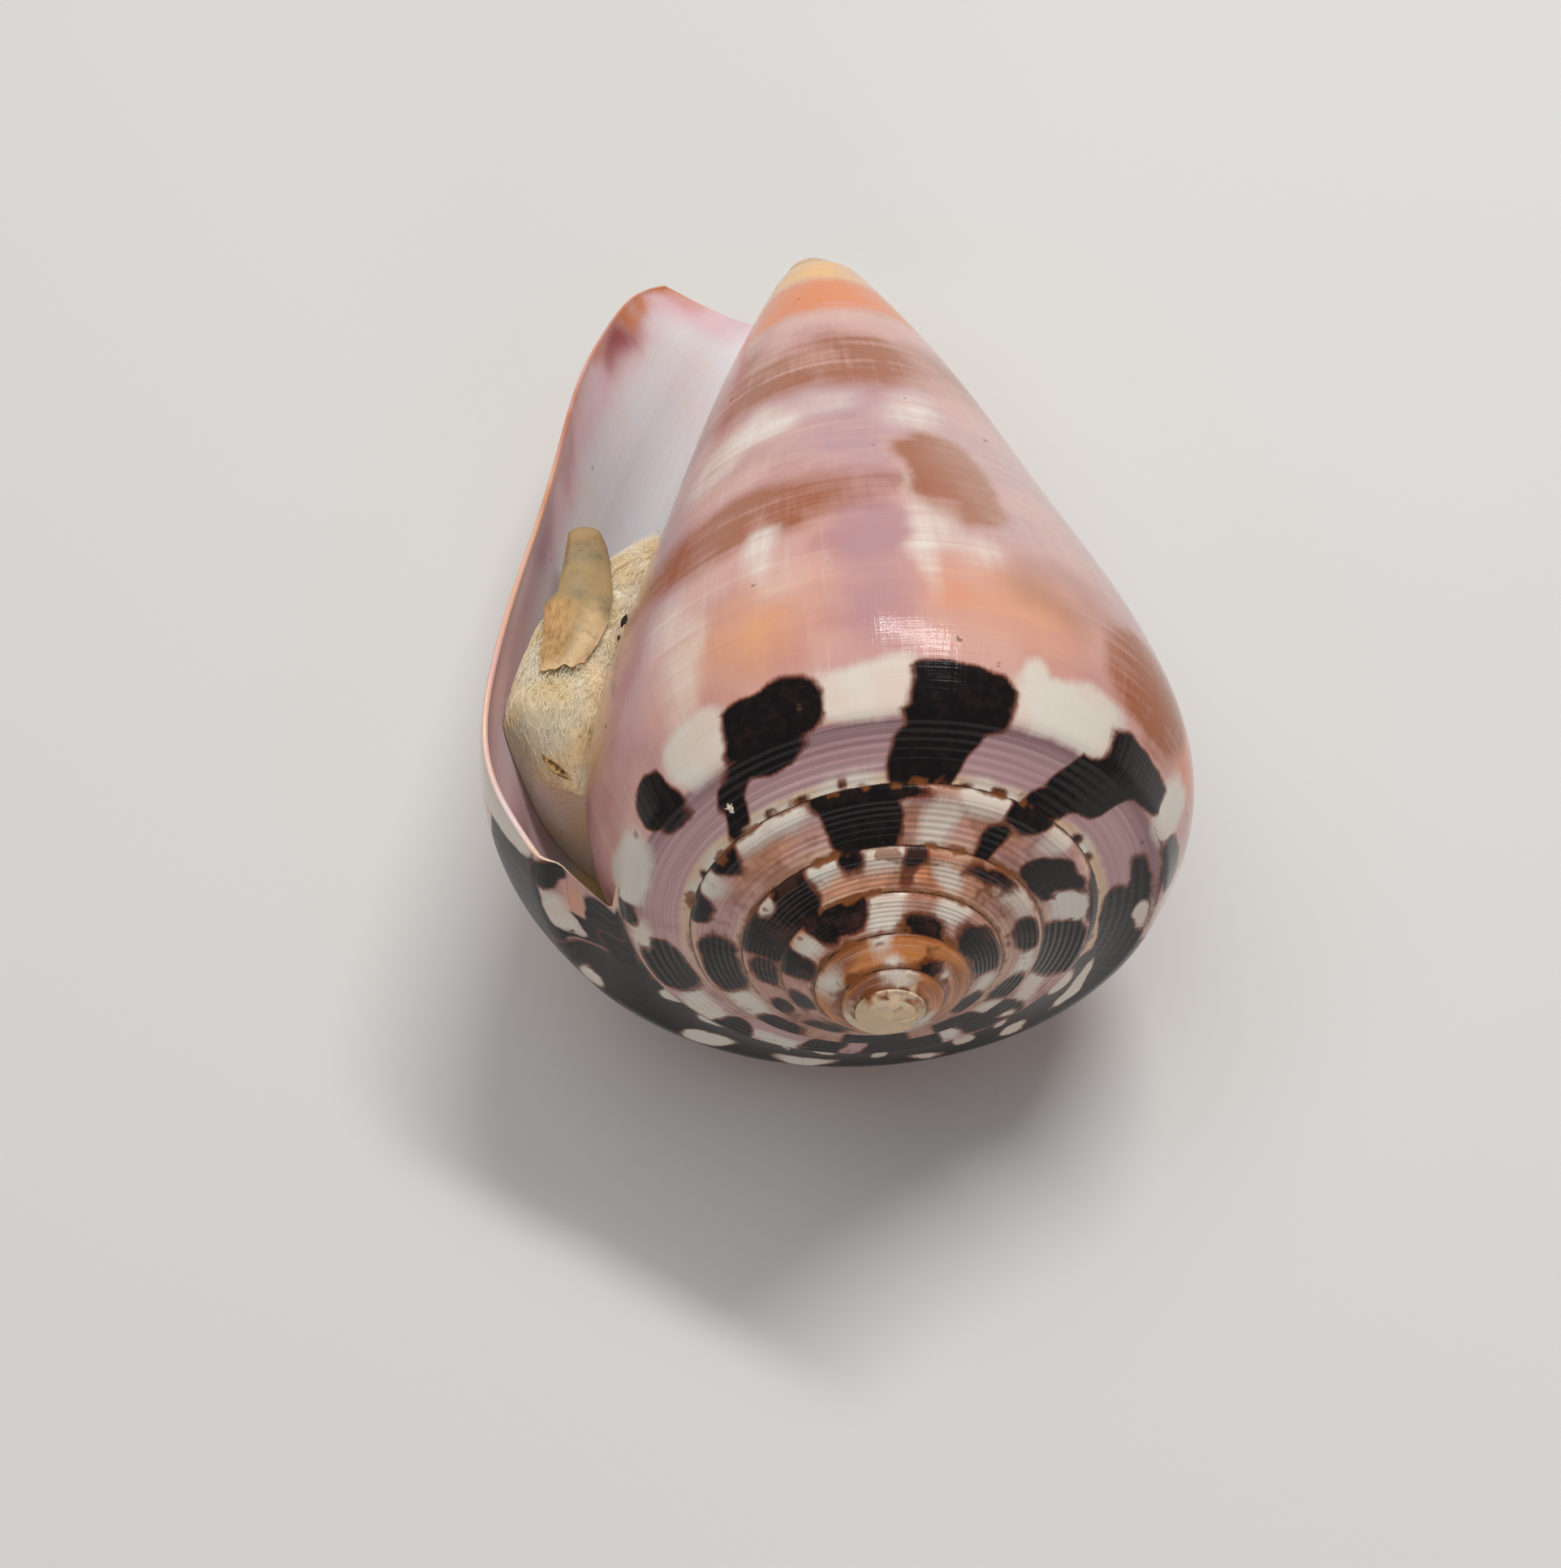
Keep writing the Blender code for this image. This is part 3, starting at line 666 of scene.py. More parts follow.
    def _inside(self) -> None:
        """The rim's orange line, the lilac band behind it, the purplish stains near the front, purplish
        painted shade deep in the hollow and the yellow patch that is partly painted light.
        """
        self._wash("inner_orange", (
            (-0.004, 0.02, 0.16, 1.4, 0.62, 0.4, 8), (-0.01, 0.02, 0.42, 0.72, 0.4, 0.7, 4),
            (-0.045, 0.02, 0.985, 1.3, 0.55, 0.4, 4), (-0.016, 0.02, 0.855, 0.935, 0.95, 0.6),
            (-0.009, 0.02, 0.93, 1.2, 0.45, 0.6),
        ))
        self._wash("inner_lilac", (
            (-0.026, 0.03, 0.02, 1.4, 0.8, 1.3, 8), (-0.1, 0.03, 0.95, 1.2, 0.75, 0.9),
            (-0.06, 0.03, 0.02, 0.4, 0.5, 2, 4),
        ))
        # The first three rows are purplish stains behind the lip; the last two are painted shade on the deep
        # inner wall, where the hollow is in shade.
        self._wash("inner_plum_stain_and_shade", (
            (-0.02, -0.002, 0.77, 0.865, 0.95, 0.9), (-0.016, 0.004, 0.5, 0.6, 0.55, 0.8),
            (-0.018, 0.004, 0.36, 0.46, 0.6, 0.8), (-0.3, -0.02, -1.2, 0.05, 0.7, 1.5, 3),
            (-0.105, -0.045, -1.2, 0.2, 0.45, 1.8, 3),
        ))
        self._wash("inner_white", (
            (-0.012, 0.02, -1.2, 0.02, 0.95, 0.4, 6), (-0.003, 0.02, 0.0, 0.5, 0.6, 0.4, 6),
        ))
        # Painted light: a bright yellow patch on the inner wall beyond the notch, partly a stained wall and
        # partly a pool of light painted where the hollow is in shade.
        self._wash("inner_mustard_and_painted_light", (
            (-0.15, -0.105, -1.2, 0.26, 0.9, 0.8, 4),
        ))

    def masks(self, patch: "Patch") -> dict[str, Array]:
        """The strength of each colour at each point of a patch.

        Args:
            patch: The patch of surface.

        Returns:
            One array for each colour. Those of the firm marks hold distances in millimetres.
        """
        seam = self._seam(patch)
        turn, down = self._warped(patch)
        loose_turn, loose_down = self._loosened(patch, turn, down)
        prefix = "inner_" if patch.side in (Side.INNER, Side.RIM) else ""
        masks = {}
        for colour in BLOTS:
            masks[colour] = self._deepest(self.marks[prefix + colour], turn, down, patch.girth)
        for colour in WASHES:
            masks[colour] = self._washed(self.marks[prefix + colour], loose_turn, loose_down, patch.girth)
        masks["inside"] = patch.inside
        masks["seam"] = seam
        return masks

    def _seam(self, patch: "Patch") -> Array:
        """Distance in millimetres to the nearest suture."""
        down = FORM.down(patch.turn, patch.section)
        above = down - FORM.down(patch.turn, np.full_like(patch.turn, -1.0))
        covered = np.broadcast_to(patch.covered_from, patch.turn.shape)
        below = FORM.down(patch.turn, covered) - down
        return np.clip(np.minimum(above, below) / MM, 0.0, 3.0)

    def _warped(self, patch: "Patch") -> tuple[Array, Array]:
        """Turn and length down the section, shifted a little so that no mark is regular."""
        size = np.sqrt(FORM.growth(patch.turn))
        shifts = []
        for seed in (21, 34):
            broad = lumps(patch.points, 0.0034, seed) * self.broad_warp
            small = lumps(patch.points, 0.0011, seed + 1) * self.small_warp
            shifts.append((broad + small) * size)
        down = FORM.down(patch.turn, patch.section)
        return patch.turn + shifts[0] / patch.girth, down + shifts[1]

    def _loosened(self, patch: "Patch", turn: Array, down: Array) -> tuple[Array, Array]:
        """The same, shifted further for the soft washes of the flank."""
        if patch.side in (Side.INNER, Side.RIM):
            return turn, down
        shifts = []
        for seed in (51, 64):
            broad = lumps(patch.points, 0.0060, seed) + 0.5 * lumps(patch.points, 0.0022, seed + 1)
            shift = broad * self.wash_warp * smoothstep(down / 0.003)
            shifts.append(shift * smoothstep((0.046 - down) / 0.01))
        return turn + shifts[0] / patch.girth, down + 0.7 * shifts[1]

    def _deepest(self, marks: list[Mark], turn: Array, down: Array, girth: Array) -> Array:
        """The largest distance inside any of the marks, no lower than -3 millimetres."""
        found = np.full(turn.shape, -3.0)
        for mark in marks:
            distance = mark.distance(turn, down, girth)
            if mark.strength < 1.0:
                distance = distance - (1.0 - mark.strength) * 0.3
            found = np.maximum(found, distance)
        return found

    def _washed(self, marks: list[Mark], turn: Array, down: Array, girth: Array) -> Array:
        """The strength of soft washes laid over each other."""
        bare = np.ones(turn.shape)
        for mark in marks:
            distance = mark.distance(turn, down, girth)
            bare *= 1.0 - mark.strength * smoothstep(0.5 + distance / (2.0 * mark.soft))
        return 1.0 - bare


@dataclass
class Patch:
    """A grid of points on the shell's surface, with each one's place in the growth."""

    name: str
    points: Array
    turn: Array
    section: Array
    side: Side
    inside: Array
    covered_from: Array | float = 9.0
    girth: Array = field(init=False)

    def __post_init__(self) -> None:
        """Brings the arrays to one shape and works out the length of a turn at each point."""
        shape = self.points.shape[:2]
        self.turn = np.broadcast_to(self.turn, shape).astype(float)
        self.section = np.broadcast_to(self.section, shape).astype(float)
        self.inside = np.broadcast_to(self.inside, shape).astype(float)
        radius = np.hypot(self.points[..., 0], self.points[..., 1])
        self.girth = 2.0 * math.pi * np.maximum(radius, 0.0003)


def select_only(*objects: bpy.types.Object) -> None:
    """Selects these objects alone and makes the first one active."""
    bpy.ops.object.select_all(action="DESELECT")
    for obj in objects:
        obj.select_set(True)
    bpy.context.view_layer.objects.active = objects[0]


def wrapped_grid(name: str, points: Array) -> bpy.types.Object:
    """Adds a grid primitive and wraps it onto rows of points.

    Args:
        name: Name of the new object.
        points: Rows and columns of points, in world space.

    Returns:
        The new object.
    """
    rows, columns = points.shape[:2]
    bpy.ops.object.select_all(action="DESELECT")
    bpy.ops.mesh.primitive_grid_add(
        x_subdivisions=columns - 1, y_subdivisions=rows - 1, size=1.0, calc_uvs=False
    )
    sheet = bpy.context.object
    sheet.name = name
    sheet.data.name = name
    sheet.data.vertices.foreach_set("co", points.astype(np.float32).ravel())
    sheet.data.update()
    return sheet


def joined(name: str, parts: list[bpy.types.Object], weld: float = WELD) -> bpy.types.Object:
    """Joins objects, merges their meeting points and turns their faces outwards.

    Args:
        name: Name of the joined object.
        parts: The objects, the first of which stays.
        weld: Distance under which points are merged.

    Returns:
        The joined object.
    """
    select_only(*parts)
    bpy.ops.object.join()
    whole = bpy.context.object
    whole.name = name
    whole.data.name = name
    bpy.ops.object.mode_set(mode="EDIT")
    bpy.ops.mesh.select_all(action="SELECT")
    bpy.ops.mesh.remove_doubles(threshold=weld)
    bpy.ops.mesh.dissolve_degenerate(threshold=weld / 2.0)
    bpy.ops.mesh.select_all(action="SELECT")
    bpy.ops.mesh.normals_make_consistent(inside=False)
    bpy.ops.object.mode_set(mode="OBJECT")
    return whole


def corner_points(mesh: bpy.types.Mesh) -> Array:
    """The number of the point at each face corner."""
    corners = np.empty(len(mesh.loops), np.int32)
    mesh.loops.foreach_get("vertex_index", corners)
    return corners


def store(mesh: bpy.types.Mesh, masks: dict[str, Array]) -> None:
    """Stores numbers on the face corners of a mesh.

    Args:
        mesh: The mesh.
        masks: Arrays by name, with one number for each point of the mesh.
    """
    corners = corner_points(mesh)
    for name, values in masks.items():
        attribute = mesh.attributes.new(name, "FLOAT", "CORNER")
        attribute.data.foreach_set("value", values.ravel()[corners].astype(np.float32))


class Wire:
    """A shader socket that takes part in sums, products and other maths."""

    def __init__(self, paint: "Paint", socket: bpy.types.NodeSocket) -> None:
        """Wraps a socket of a material's node tree."""
        self.paint = paint
        self.socket = socket

    def maths(self, operation: str, *values: "Wire | float") -> "Wire":
        """The result of one Math node."""
        return self.paint.add("ShaderNodeMath", {"operation": operation}, dict(enumerate(values)))

    def __add__(self, other: "Wire | float") -> "Wire":
        """The sum."""
        return self.maths("ADD", self, other)

    __radd__ = __add__

    def __mul__(self, other: "Wire | float") -> "Wire":
        """The product."""
        return self.maths("MULTIPLY", self, other)

    __rmul__ = __mul__

    def __sub__(self, other: "Wire | float") -> "Wire":
        """The difference."""
        return self.maths("SUBTRACT", self, other)

    def __rsub__(self, other: float) -> "Wire":
        """The difference from a number."""
        return self.maths("SUBTRACT", other, self)

    def sine(self) -> "Wire":
        """The sine."""
        return self.maths("SINE", self)

    def at_most(self, other: "Wire | float") -> "Wire":
        """The smaller of two values."""
        return self.maths("MINIMUM", self, other)

    def at_least(self, other: "Wire | float") -> "Wire":
        """The larger of two values."""
        return self.maths("MAXIMUM", self, other)

    def rise(self, low: float, high: float) -> "Wire":
        """Eases from 0 at the low value to 1 at the high one."""
        settings = {"interpolation_type": "SMOOTHSTEP"}
        values = {"Value": self, "From Min": low, "From Max": high, "To Min": 0.0, "To Max": 1.0}
        return self.paint.add("ShaderNodeMapRange", settings, values)


class Paint:
    """Builds the nodes of one material."""

    def __init__(self, name: str) -> None:
        """Starts a material that holds a Principled shader."""
        self.material = bpy.data.materials.new(name)
        self.material.use_nodes = True
        self.tree = self.material.node_tree
        self.shader = self.tree.nodes["Principled BSDF"]

    def add(
        self,
        kind: str,
        settings: dict[str, object] | None = None,
        values: dict[str | int, object] | None = None,
        output: str | int = 0,
    ) -> Wire:
        """Adds a node.

        Args:
            kind: Type of the node.
            settings: Its properties.
            values: Constants or wires for its sockets.
            output: Which output to return.

        Returns:
            The output.
        """
        node = self.tree.nodes.new(kind)
        for name, value in (settings or {}).items():
            setattr(node, name, value)
        for key, value in (values or {}).items():
            if isinstance(value, Wire):
                self.tree.links.new(value.socket, node.inputs[key])
            else:
                node.inputs[key].default_value = value
        return Wire(self, node.outputs[output])

    def object_place(self) -> Wire:
        """The place on the piece, in metres."""
        return self.add("ShaderNodeTexCoord", output="Object")

    def attribute(self, name: str) -> Wire:
        """A number that the mesh holds."""
        return self.add("ShaderNodeAttribute", {"attribute_name": name}, output="Fac")

    def vector(self, x: Wire | float, y: Wire | float, z: Wire | float = 0.0) -> Wire:
        """A vector from its parts."""
        return self.add("ShaderNodeCombineXYZ", values={0: x, 1: y, 2: z})

    def noise(self, vector: Wire, scale: float, detail: float = 2.0, rough: float = 0.5) -> Wire:
        """Soft noise from 0 to 1."""
        values = {"Vector": vector, "Scale": scale, "Detail": detail, "Roughness": rough}
        return self.add("ShaderNodeTexNoise", values=values)

    def cells(self, vector: Wire, scale: float) -> Wire:
        """Distance to the nearest of scattered points."""
        return self.add("ShaderNodeTexVoronoi", values={"Vector": vector, "Scale": scale})

    def mix(self, share: Wire | float, base: Wire | Colour, top: Wire | Colour) -> Wire:
        """One colour laid over another."""
        return self.add("ShaderNodeMix", {"data_type": "RGBA"}, {0: share, 6: base, 7: top}, 2)

    def bump(self, height: Wire) -> Wire:
        """A normal from a height in metres."""
        return self.add("ShaderNodeBump", values={"Strength": 1.0, "Distance": 1.0, "Height": height})

    def finish(self, wires: dict[str, Wire], constants: dict[str, object]) -> bpy.types.Material:
        """Connects the shader.

        Args:
            wires: What changes over the surface.
            constants: What is the same all over.

        Returns:
            The material.
        """
        for name, value in constants.items():
            self.shader.inputs[name].default_value = value
        for name, wire in wires.items():
            self.tree.links.new(wire.socket, self.shader.inputs[name])
        return self.material


class ShellFields:
    """What the layers of the glaze are made from: places on the shell, stored masks and noises."""

    def __init__(self, paint: Paint) -> None:
        """Adds the nodes that the layers share."""
        self.place = paint.object_place()
        growth = paint.add("ShaderNodeUVMap", {"uv_map": GROWTH_MAP})
        self.turn = paint.add("ShaderNodeSeparateXYZ", values={0: growth}, output=0)
        self.down = Wire(paint, self.turn.socket.node.outputs[1])
        self.section = paint.attribute("section")
        self.inside = paint.attribute("inside")
        self.seam = paint.attribute("seam")
        self.streaks = paint.noise(paint.vector(self.turn * 150.0, self.down * 7.0), 1.0, 3.0, 0.7)
        self.fine_streaks = paint.noise(paint.vector(self.turn * 620.0, self.down * 18.0), 1.0, 1.0, 0.6)
        self.threads = paint.noise(paint.vector(self.turn * 6.0, self.down * 300.0), 1.0, 3.0, 0.75)
        self.bands = paint.noise(paint.vector(self.turn * 3.0, self.down * 55.0), 1.0, 2.0, 0.6)
        self.cloud = paint.noise(self.place, 170.0, 2.0)
        self.grain = paint.noise(self.place, 1500.0, 2.0)
        self.blots = paint.noise(self.place, 640.0, 2.0, 0.6)
        mottle = (self.streaks - 0.5) * 0.7 + (self.cloud - 0.5) * 1.6
        self.mottle = mottle + (self.bands - 0.5) * 1.3 + (self.threads - 0.5) * 0.4
        self.on_spire = self.turn.rise(-0.99, -1.06)
        self.on_ramp = self.section.rise(-0.01, -0.08) * (1.0 - self.inside)


@dataclass(frozen=True)
class ShellGlaze:
    """The shell's glossy enamel with its painted pattern."""

    pink: Colour = srgb(212, 164, 152)
    rose: Colour = srgb(190, 136, 132)
    white: Colour = srgb(228, 214, 202)
    lilac: Colour = srgb(184, 142, 146)
    brown: Colour = srgb(157, 86, 48)
    orange: Colour = srgb(224, 122, 52)
    cream: Colour = srgb(236, 182, 108)
    peach: Colour = srgb(222, 158, 122)
    black: Colour = srgb(15, 9, 10)
    tar: Colour = srgb(33, 20, 18)
    rim: Colour = srgb(104, 44, 16)
    cream_pink: Colour = srgb(222, 186, 166)
    ivory: Colour = srgb(220, 211, 197)
    ramp: Colour = srgb(188, 150, 152)
    clay: Colour = srgb(190, 138, 112)
    russet: Colour = srgb(134, 80, 58)
    # Painted shade for the ramp beside the shoulder.
    painted_shoulder_shade: Colour = srgb(136, 98, 100)
    ramp_pale: Colour = srgb(208, 184, 180)
    ramp_dark: Colour = srgb(150, 104, 106)
    edge_cream: Colour = srgb(222, 190, 152)
    # Brown for stains and for painted shade at the sutures.
    stain_and_seam_shade: Colour = srgb(122, 68, 30)
    soot: Colour = srgb(40, 24, 16)
    umber: Colour = srgb(74, 44, 36)
    slate: Colour = srgb(66, 64, 68)
    # A stained yellow patch, brightened as painted light.
    mustard_and_painted_light: Colour = srgb(255, 222, 140)
    worn: Colour = srgb(206, 184, 156)
    tan: Colour = srgb(198, 122, 50)
    rust: Colour = srgb(128, 62, 18)
    interior: Colour = srgb(224, 225, 229)
    inner_orange: Colour = srgb(204, 118, 62)
    rim_cream: Colour = srgb(228, 192, 162)
    inner_lilac: Colour = srgb(226, 186, 192)
    # Purplish colour for stains behind the lip and for painted shade deep in the hollow.
    plum_stain_and_shade: Colour = srgb(158, 84, 92)
    dirt: Colour = srgb(70, 52, 40)
    roughness: float = 0.12
    cord_pitch: float = 0.132
    cord_phase: float = 0.4
    cord_depth: float = 0.000018
    growth_line_depth: float = 0.000030
    ridge_depth: float = 0.000014
    wave_depth: float = 0.00003

    def material(self) -> bpy.types.Material:
        """Builds the material."""
        paint = Paint("shell_glaze")
        at = ShellFields(paint)
        base = self._ground(paint, at)
        lining = self._lining(paint, at)
        base = paint.mix(at.inside.rise(0.0, 1.0), base, lining)
        base, dark, dull = self._blotched(paint, at, base)
        base, worn, specks = self._aged(paint, at, base, dark)
        height = self._relief(at)
        rough = self.roughness + (at.grain - 0.5) * 0.10 + (at.streaks - 0.5) * 0.08 + specks * 0.3
        rough = rough + worn * 0.45 + dull.rise(0.0, 0.5) * 0.25 + at.turn.rise(-3.0, -5.5) * 0.12
        wires = {"Base Color": base, "Roughness": rough, "Normal": paint.bump(height)}
        return paint.finish(wires, {"Metallic": 0.0, "Specular IOR Level": 0.36, "IOR": 1.5})

    def _ground(self, paint: Paint, at: ShellFields) -> Wire:
        """The outside's ground colour with its washes, and painted shade on the last whorl's ramp beside the
        shoulder.
        """
        base = paint.mix(at.cloud.rise(0.35, 0.7), self.pink, self.rose)
        base = paint.mix(at.bands.rise(0.5, 0.8) * 0.5, base, self.cream_pink)
        base = paint.mix(at.streaks.rise(0.5, 0.85) * 0.35, base, self.white)
        base = paint.mix(at.on_ramp * (1.0 - at.on_spire) * 0.85, base, self.ramp)
        # Painted shade: the last whorl's ramp turns dusky lilac-brown towards the shoulder.
        painted_shoulder_shade = at.on_ramp * (1.0 - at.on_spire) * (at.section + (at.cloud - 0.5) * 0.2).rise(-0.42, -0.12)
        base = paint.mix(painted_shoulder_shade * 0.7, base, self.painted_shoulder_shade)
        base = paint.mix(at.on_ramp * at.on_spire * 0.6, base, self.ramp)
        base = paint.mix(at.turn.rise(-1.95, -2.1) * (0.35 + at.blots * 0.7), base, self.clay)
        rust = paint.mix(at.bands.rise(0.4, 0.65), self.tan, self.rust)
        base = paint.mix(at.turn.rise(-4.0, -4.5) * 0.9, base, rust)
        for name, colour in (
            ("lilac", self.lilac),
            ("peach", self.peach),
            ("orange", self.orange),
            ("brown", self.brown),
            ("cream", self.cream),
            ("white", self.white),
        ):
            base = self._wash(paint, base, name, colour, at.mottle)
        lines = paint.noise(paint.vector(at.turn * 3.0, at.section * 20.0), 1.0, 3.0, 0.6)
        base = paint.mix(at.on_ramp * lines.rise(0.52, 0.66) * 0.40, base, self.ramp_pale)
        base = paint.mix(at.on_ramp * lines.rise(0.48, 0.34) * 0.35, base, self.ramp_dark)
        narrow = at.turn.rise(-1.5, -5.0)
        rough_seam = at.seam + (at.streaks - 0.5) * 0.7 + (at.cloud - 0.5) * 1.0 + narrow * 0.75
        worn_edge = rough_seam.rise(0.85, 0.40)
        base = paint.mix(worn_edge * (0.75 - at.on_spire * 0.35) * (1.0 - at.inside), base, self.edge_cream)
        dusky = at.on_spire * (at.cloud * 0.5 + at.blots * 0.6).rise(0.50, 0.68)
        base = paint.mix(dusky * 0.55, base, self.russet)
        return base

    def _lining(self, paint: Paint, at: ShellFields) -> Wire:
        """The colour of the inside, with the bands behind the lip's edge."""
        inner = paint.mix(at.cloud.rise(0.3, 0.8) * 0.4, self.interior, self.white)
        inner = self._wash(paint, inner, "lilac", self.inner_lilac, at.cloud - 0.5)
        # Purplish stains behind the lip and painted shade deep in the hollow.
        inner = self._wash(paint, inner, "plum_stain_and_shade", self.plum_stain_and_shade, at.cloud - 0.5)
        inner = self._wash(paint, inner, "orange", self.inner_orange, at.cloud - 0.5)
        inner = self._wash(paint, inner, "white", self.rim_cream, at.cloud - 0.5)
        return inner

    def _blotched(self, paint: Paint, at: ShellFields, base: Wire) -> tuple[Wire, Wire, Wire]:
        """Lays the pale, slate and black marks over the ground.

        Args:
            paint: The material's nodes.
            at: The wires that the layers share.
            base: The colour below.

        Returns:
            The new colour, the distance inside the black and the strength of the slate.
        """
        ragged = (at.grain - 0.5) * 0.20 + (at.cloud - 0.5) * 0.3 + (at.fine_streaks - 0.5) * 0.12
        ragged = ragged + (at.blots - 0.5) * (at.on_spire * 0.55 + 0.15)
        pale = paint.attribute("pale") + ragged
        ivory = paint.mix(at.cloud.rise(0.45, 0.6) * 0.35, self.ivory, self.cream_pink)
        fade = pale + (at.streaks - 0.5) * 0.5
        base = paint.mix(fade.rise(-0.50, 0.30) * 0.96, base, ivory)
        dull = (paint.attribute("slate") * 1.6 - 0.35 + (at.cloud - 0.5)).at_most(0.9 - pale.rise(-0.5, 0.1))
        slate = paint.mix(at.fine_streaks.rise(0.45, 0.75), self.black, self.slate)
        base = paint.mix(dull.rise(0.0, 0.5), base, slate)
        dark = (paint.attribute("dark") + ragged).at_most(0.12 - pale.at_least(-0.6))
        ink = paint.mix(at.grain.rise(0.4, 0.75), self.black, self.tar)
        faded = at.turn.rise(-1.6, -3.0) * (at.blots + at.cloud * 0.6 + at.streaks * 0.3).rise(0.90, 1.15)
        ink = paint.mix(faded * 0.7, ink, self.umber)
        base = paint.mix((dark + at.on_spire * 0.04).rise(-0.24, 0.02) * 0.9, base, self.rim)
        base = paint.mix(dark.rise(-0.06, 0.12), base, ink)
        return base, dark, dull

    def _aged(self, paint: Paint, at: ShellFields, base: Wire, dark: Wire) -> tuple[Wire, Wire, Wire]:
        """Adds the stains and painted shade along the suture, the worn apex, the dirt and the yellow patch
        inside, which is partly painted light.

        Args:
            paint: The material's nodes.
            at: The wires that the layers share.
            base: The colour below.
            dark: The distance inside the black marks.

        Returns:
            The new colour, how worn the surface is and where the specks are.
        """
        threads_tone = at.threads.rise(0.55, 0.8) * 0.16 * (1.0 - dark.rise(-0.1, 0.1))
        base = paint.mix(threads_tone, base, self.brown)
        # Brown along the suture, partly stains and partly painted shade in the suture's crease.
        stain_and_seam_shade = (at.seam + (at.blots - 0.5) * 3.2).rise(0.10, -0.35) * at.seam.rise(1.3, 0.6)
        stain_and_seam_shade = stain_and_seam_shade * (1.0 - at.inside)
        base = paint.mix(stain_and_seam_shade * 0.85, base, self.stain_and_seam_shade)
        # Painted shade: a brown band beside each suture of the spire.
        painted_seam_shade = (at.seam + (at.blots - 0.5) * 0.9 + (at.grain - 0.5) * 0.3).rise(0.36, 0.06) * at.on_spire
        base = paint.mix(painted_seam_shade * 0.85 * (1.0 - dark.rise(-0.2, 0.1)), base, self.stain_and_seam_shade)
        flecks = (at.blots + (at.grain - 0.5) * 0.3).rise(0.60, 0.68) * at.on_spire
        flecks = flecks * (1.0 - dark.rise(-0.2, 0.1))
        base = paint.mix(flecks * at.turn.rise(-1.6, -2.6) * 0.7, base, self.stain_and_seam_shade)
        crack = (at.seam + (at.grain - 0.5) * 0.10 + (at.streaks - 0.5) * 0.10).rise(0.08, 0.01)
        crack = crack * (1.0 - at.inside) * at.blots.rise(0.38, 0.5) * at.turn.rise(-6.8, -5.5)
        base = paint.mix(crack * 0.9, base, self.soot)
        worn = (at.turn * -1.0 + (at.blots - 0.5) * 6.0 + (at.grain - 0.5) * 2.0).rise(6.0, 7.1)
        base = paint.mix(worn, base, paint.mix(at.grain.rise(0.35, 0.7), self.worn, self.edge_cream))
        # Painted light: the bright yellow patch inside, partly a stained wall and partly a painted pool of
        # light.
        base = paint.mix(paint.attribute("mustard_and_painted_light") * 0.9, base, self.mustard_and_painted_light)
        specks = paint.cells(at.place, 330.0).rise(0.10, 0.045) * at.grain.rise(0.52, 0.6)
        base = paint.mix(specks * 0.75, base, self.dirt)
        return base, worn, specks

    def _relief(self, at: ShellFields) -> Wire:
        """Height in metres of the cords, growth lines and ridges."""
        corded = at.on_ramp * at.section.rise(-0.97, -0.86)
        cords = (at.section * (2.0 * math.pi / self.cord_pitch) + self.cord_phase).sine() * corded
        cords = cords * at.turn.rise(-4.6, -3.4) * at.turn.rise(-0.40, -0.62)
        growth_lines = (at.streaks - 0.5) * self.growth_line_depth
        ridges = (at.threads - 0.5) * self.ridge_depth
        return cords * self.cord_depth + growth_lines + ridges + (at.cloud - 0.5) * self.wave_depth

    def _wash(self, paint: Paint, base: Wire, name: str, colour: Colour, mottle: Wire) -> Wire:
        """Lays one wash over the base, broken up by the mottle."""
        strength = paint.attribute(name)
        share = (strength * (1.08 + mottle * 1.5)).at_least(0.0).at_most(1.0)
        return paint.mix(share, base, colour)


@dataclass(frozen=True)
class CottonFinish:
    """Matted cotton wool with tea-coloured stains."""

    light: Colour = srgb(255, 248, 222)
    tan: Colour = srgb(255, 230, 172)
    shade: Colour = srgb(228, 194, 146)
    dirt: Colour = srgb(104, 76, 50)

    def material(self, name: str, fibres: bool) -> bpy.types.Material:
        """Builds the material for the wad or for its loose fibres."""
        paint = Paint(name)
        place = paint.object_place()
        cloud = paint.noise(place, 260.0, 4.0)
        fluff = paint.noise(place, 2400.0, 5.0, 0.7)
        base = paint.mix(cloud.rise(0.35, 0.7), self.light, self.tan)
        base = paint.mix(fluff.rise(0.55, 0.8) * 0.35, base, self.shade)
        specks = paint.cells(place, 900.0).rise(0.16, 0.08) * cloud.rise(0.56, 0.64)
        base = paint.mix(specks * 0.55, base, self.dirt)
        wires = {"Base Color": base}
        if not fibres:
            wires["Normal"] = paint.bump((fluff - 0.5) * 0.00016 + (cloud - 0.5) * 0.0002)
        constants = {
            "Roughness": 0.95,
            "Specular IOR Level": 0.15,
            "Sheen Weight": 0.9,
            "Sheen Roughness": 0.5,
        }
        return paint.finish(wires, constants)


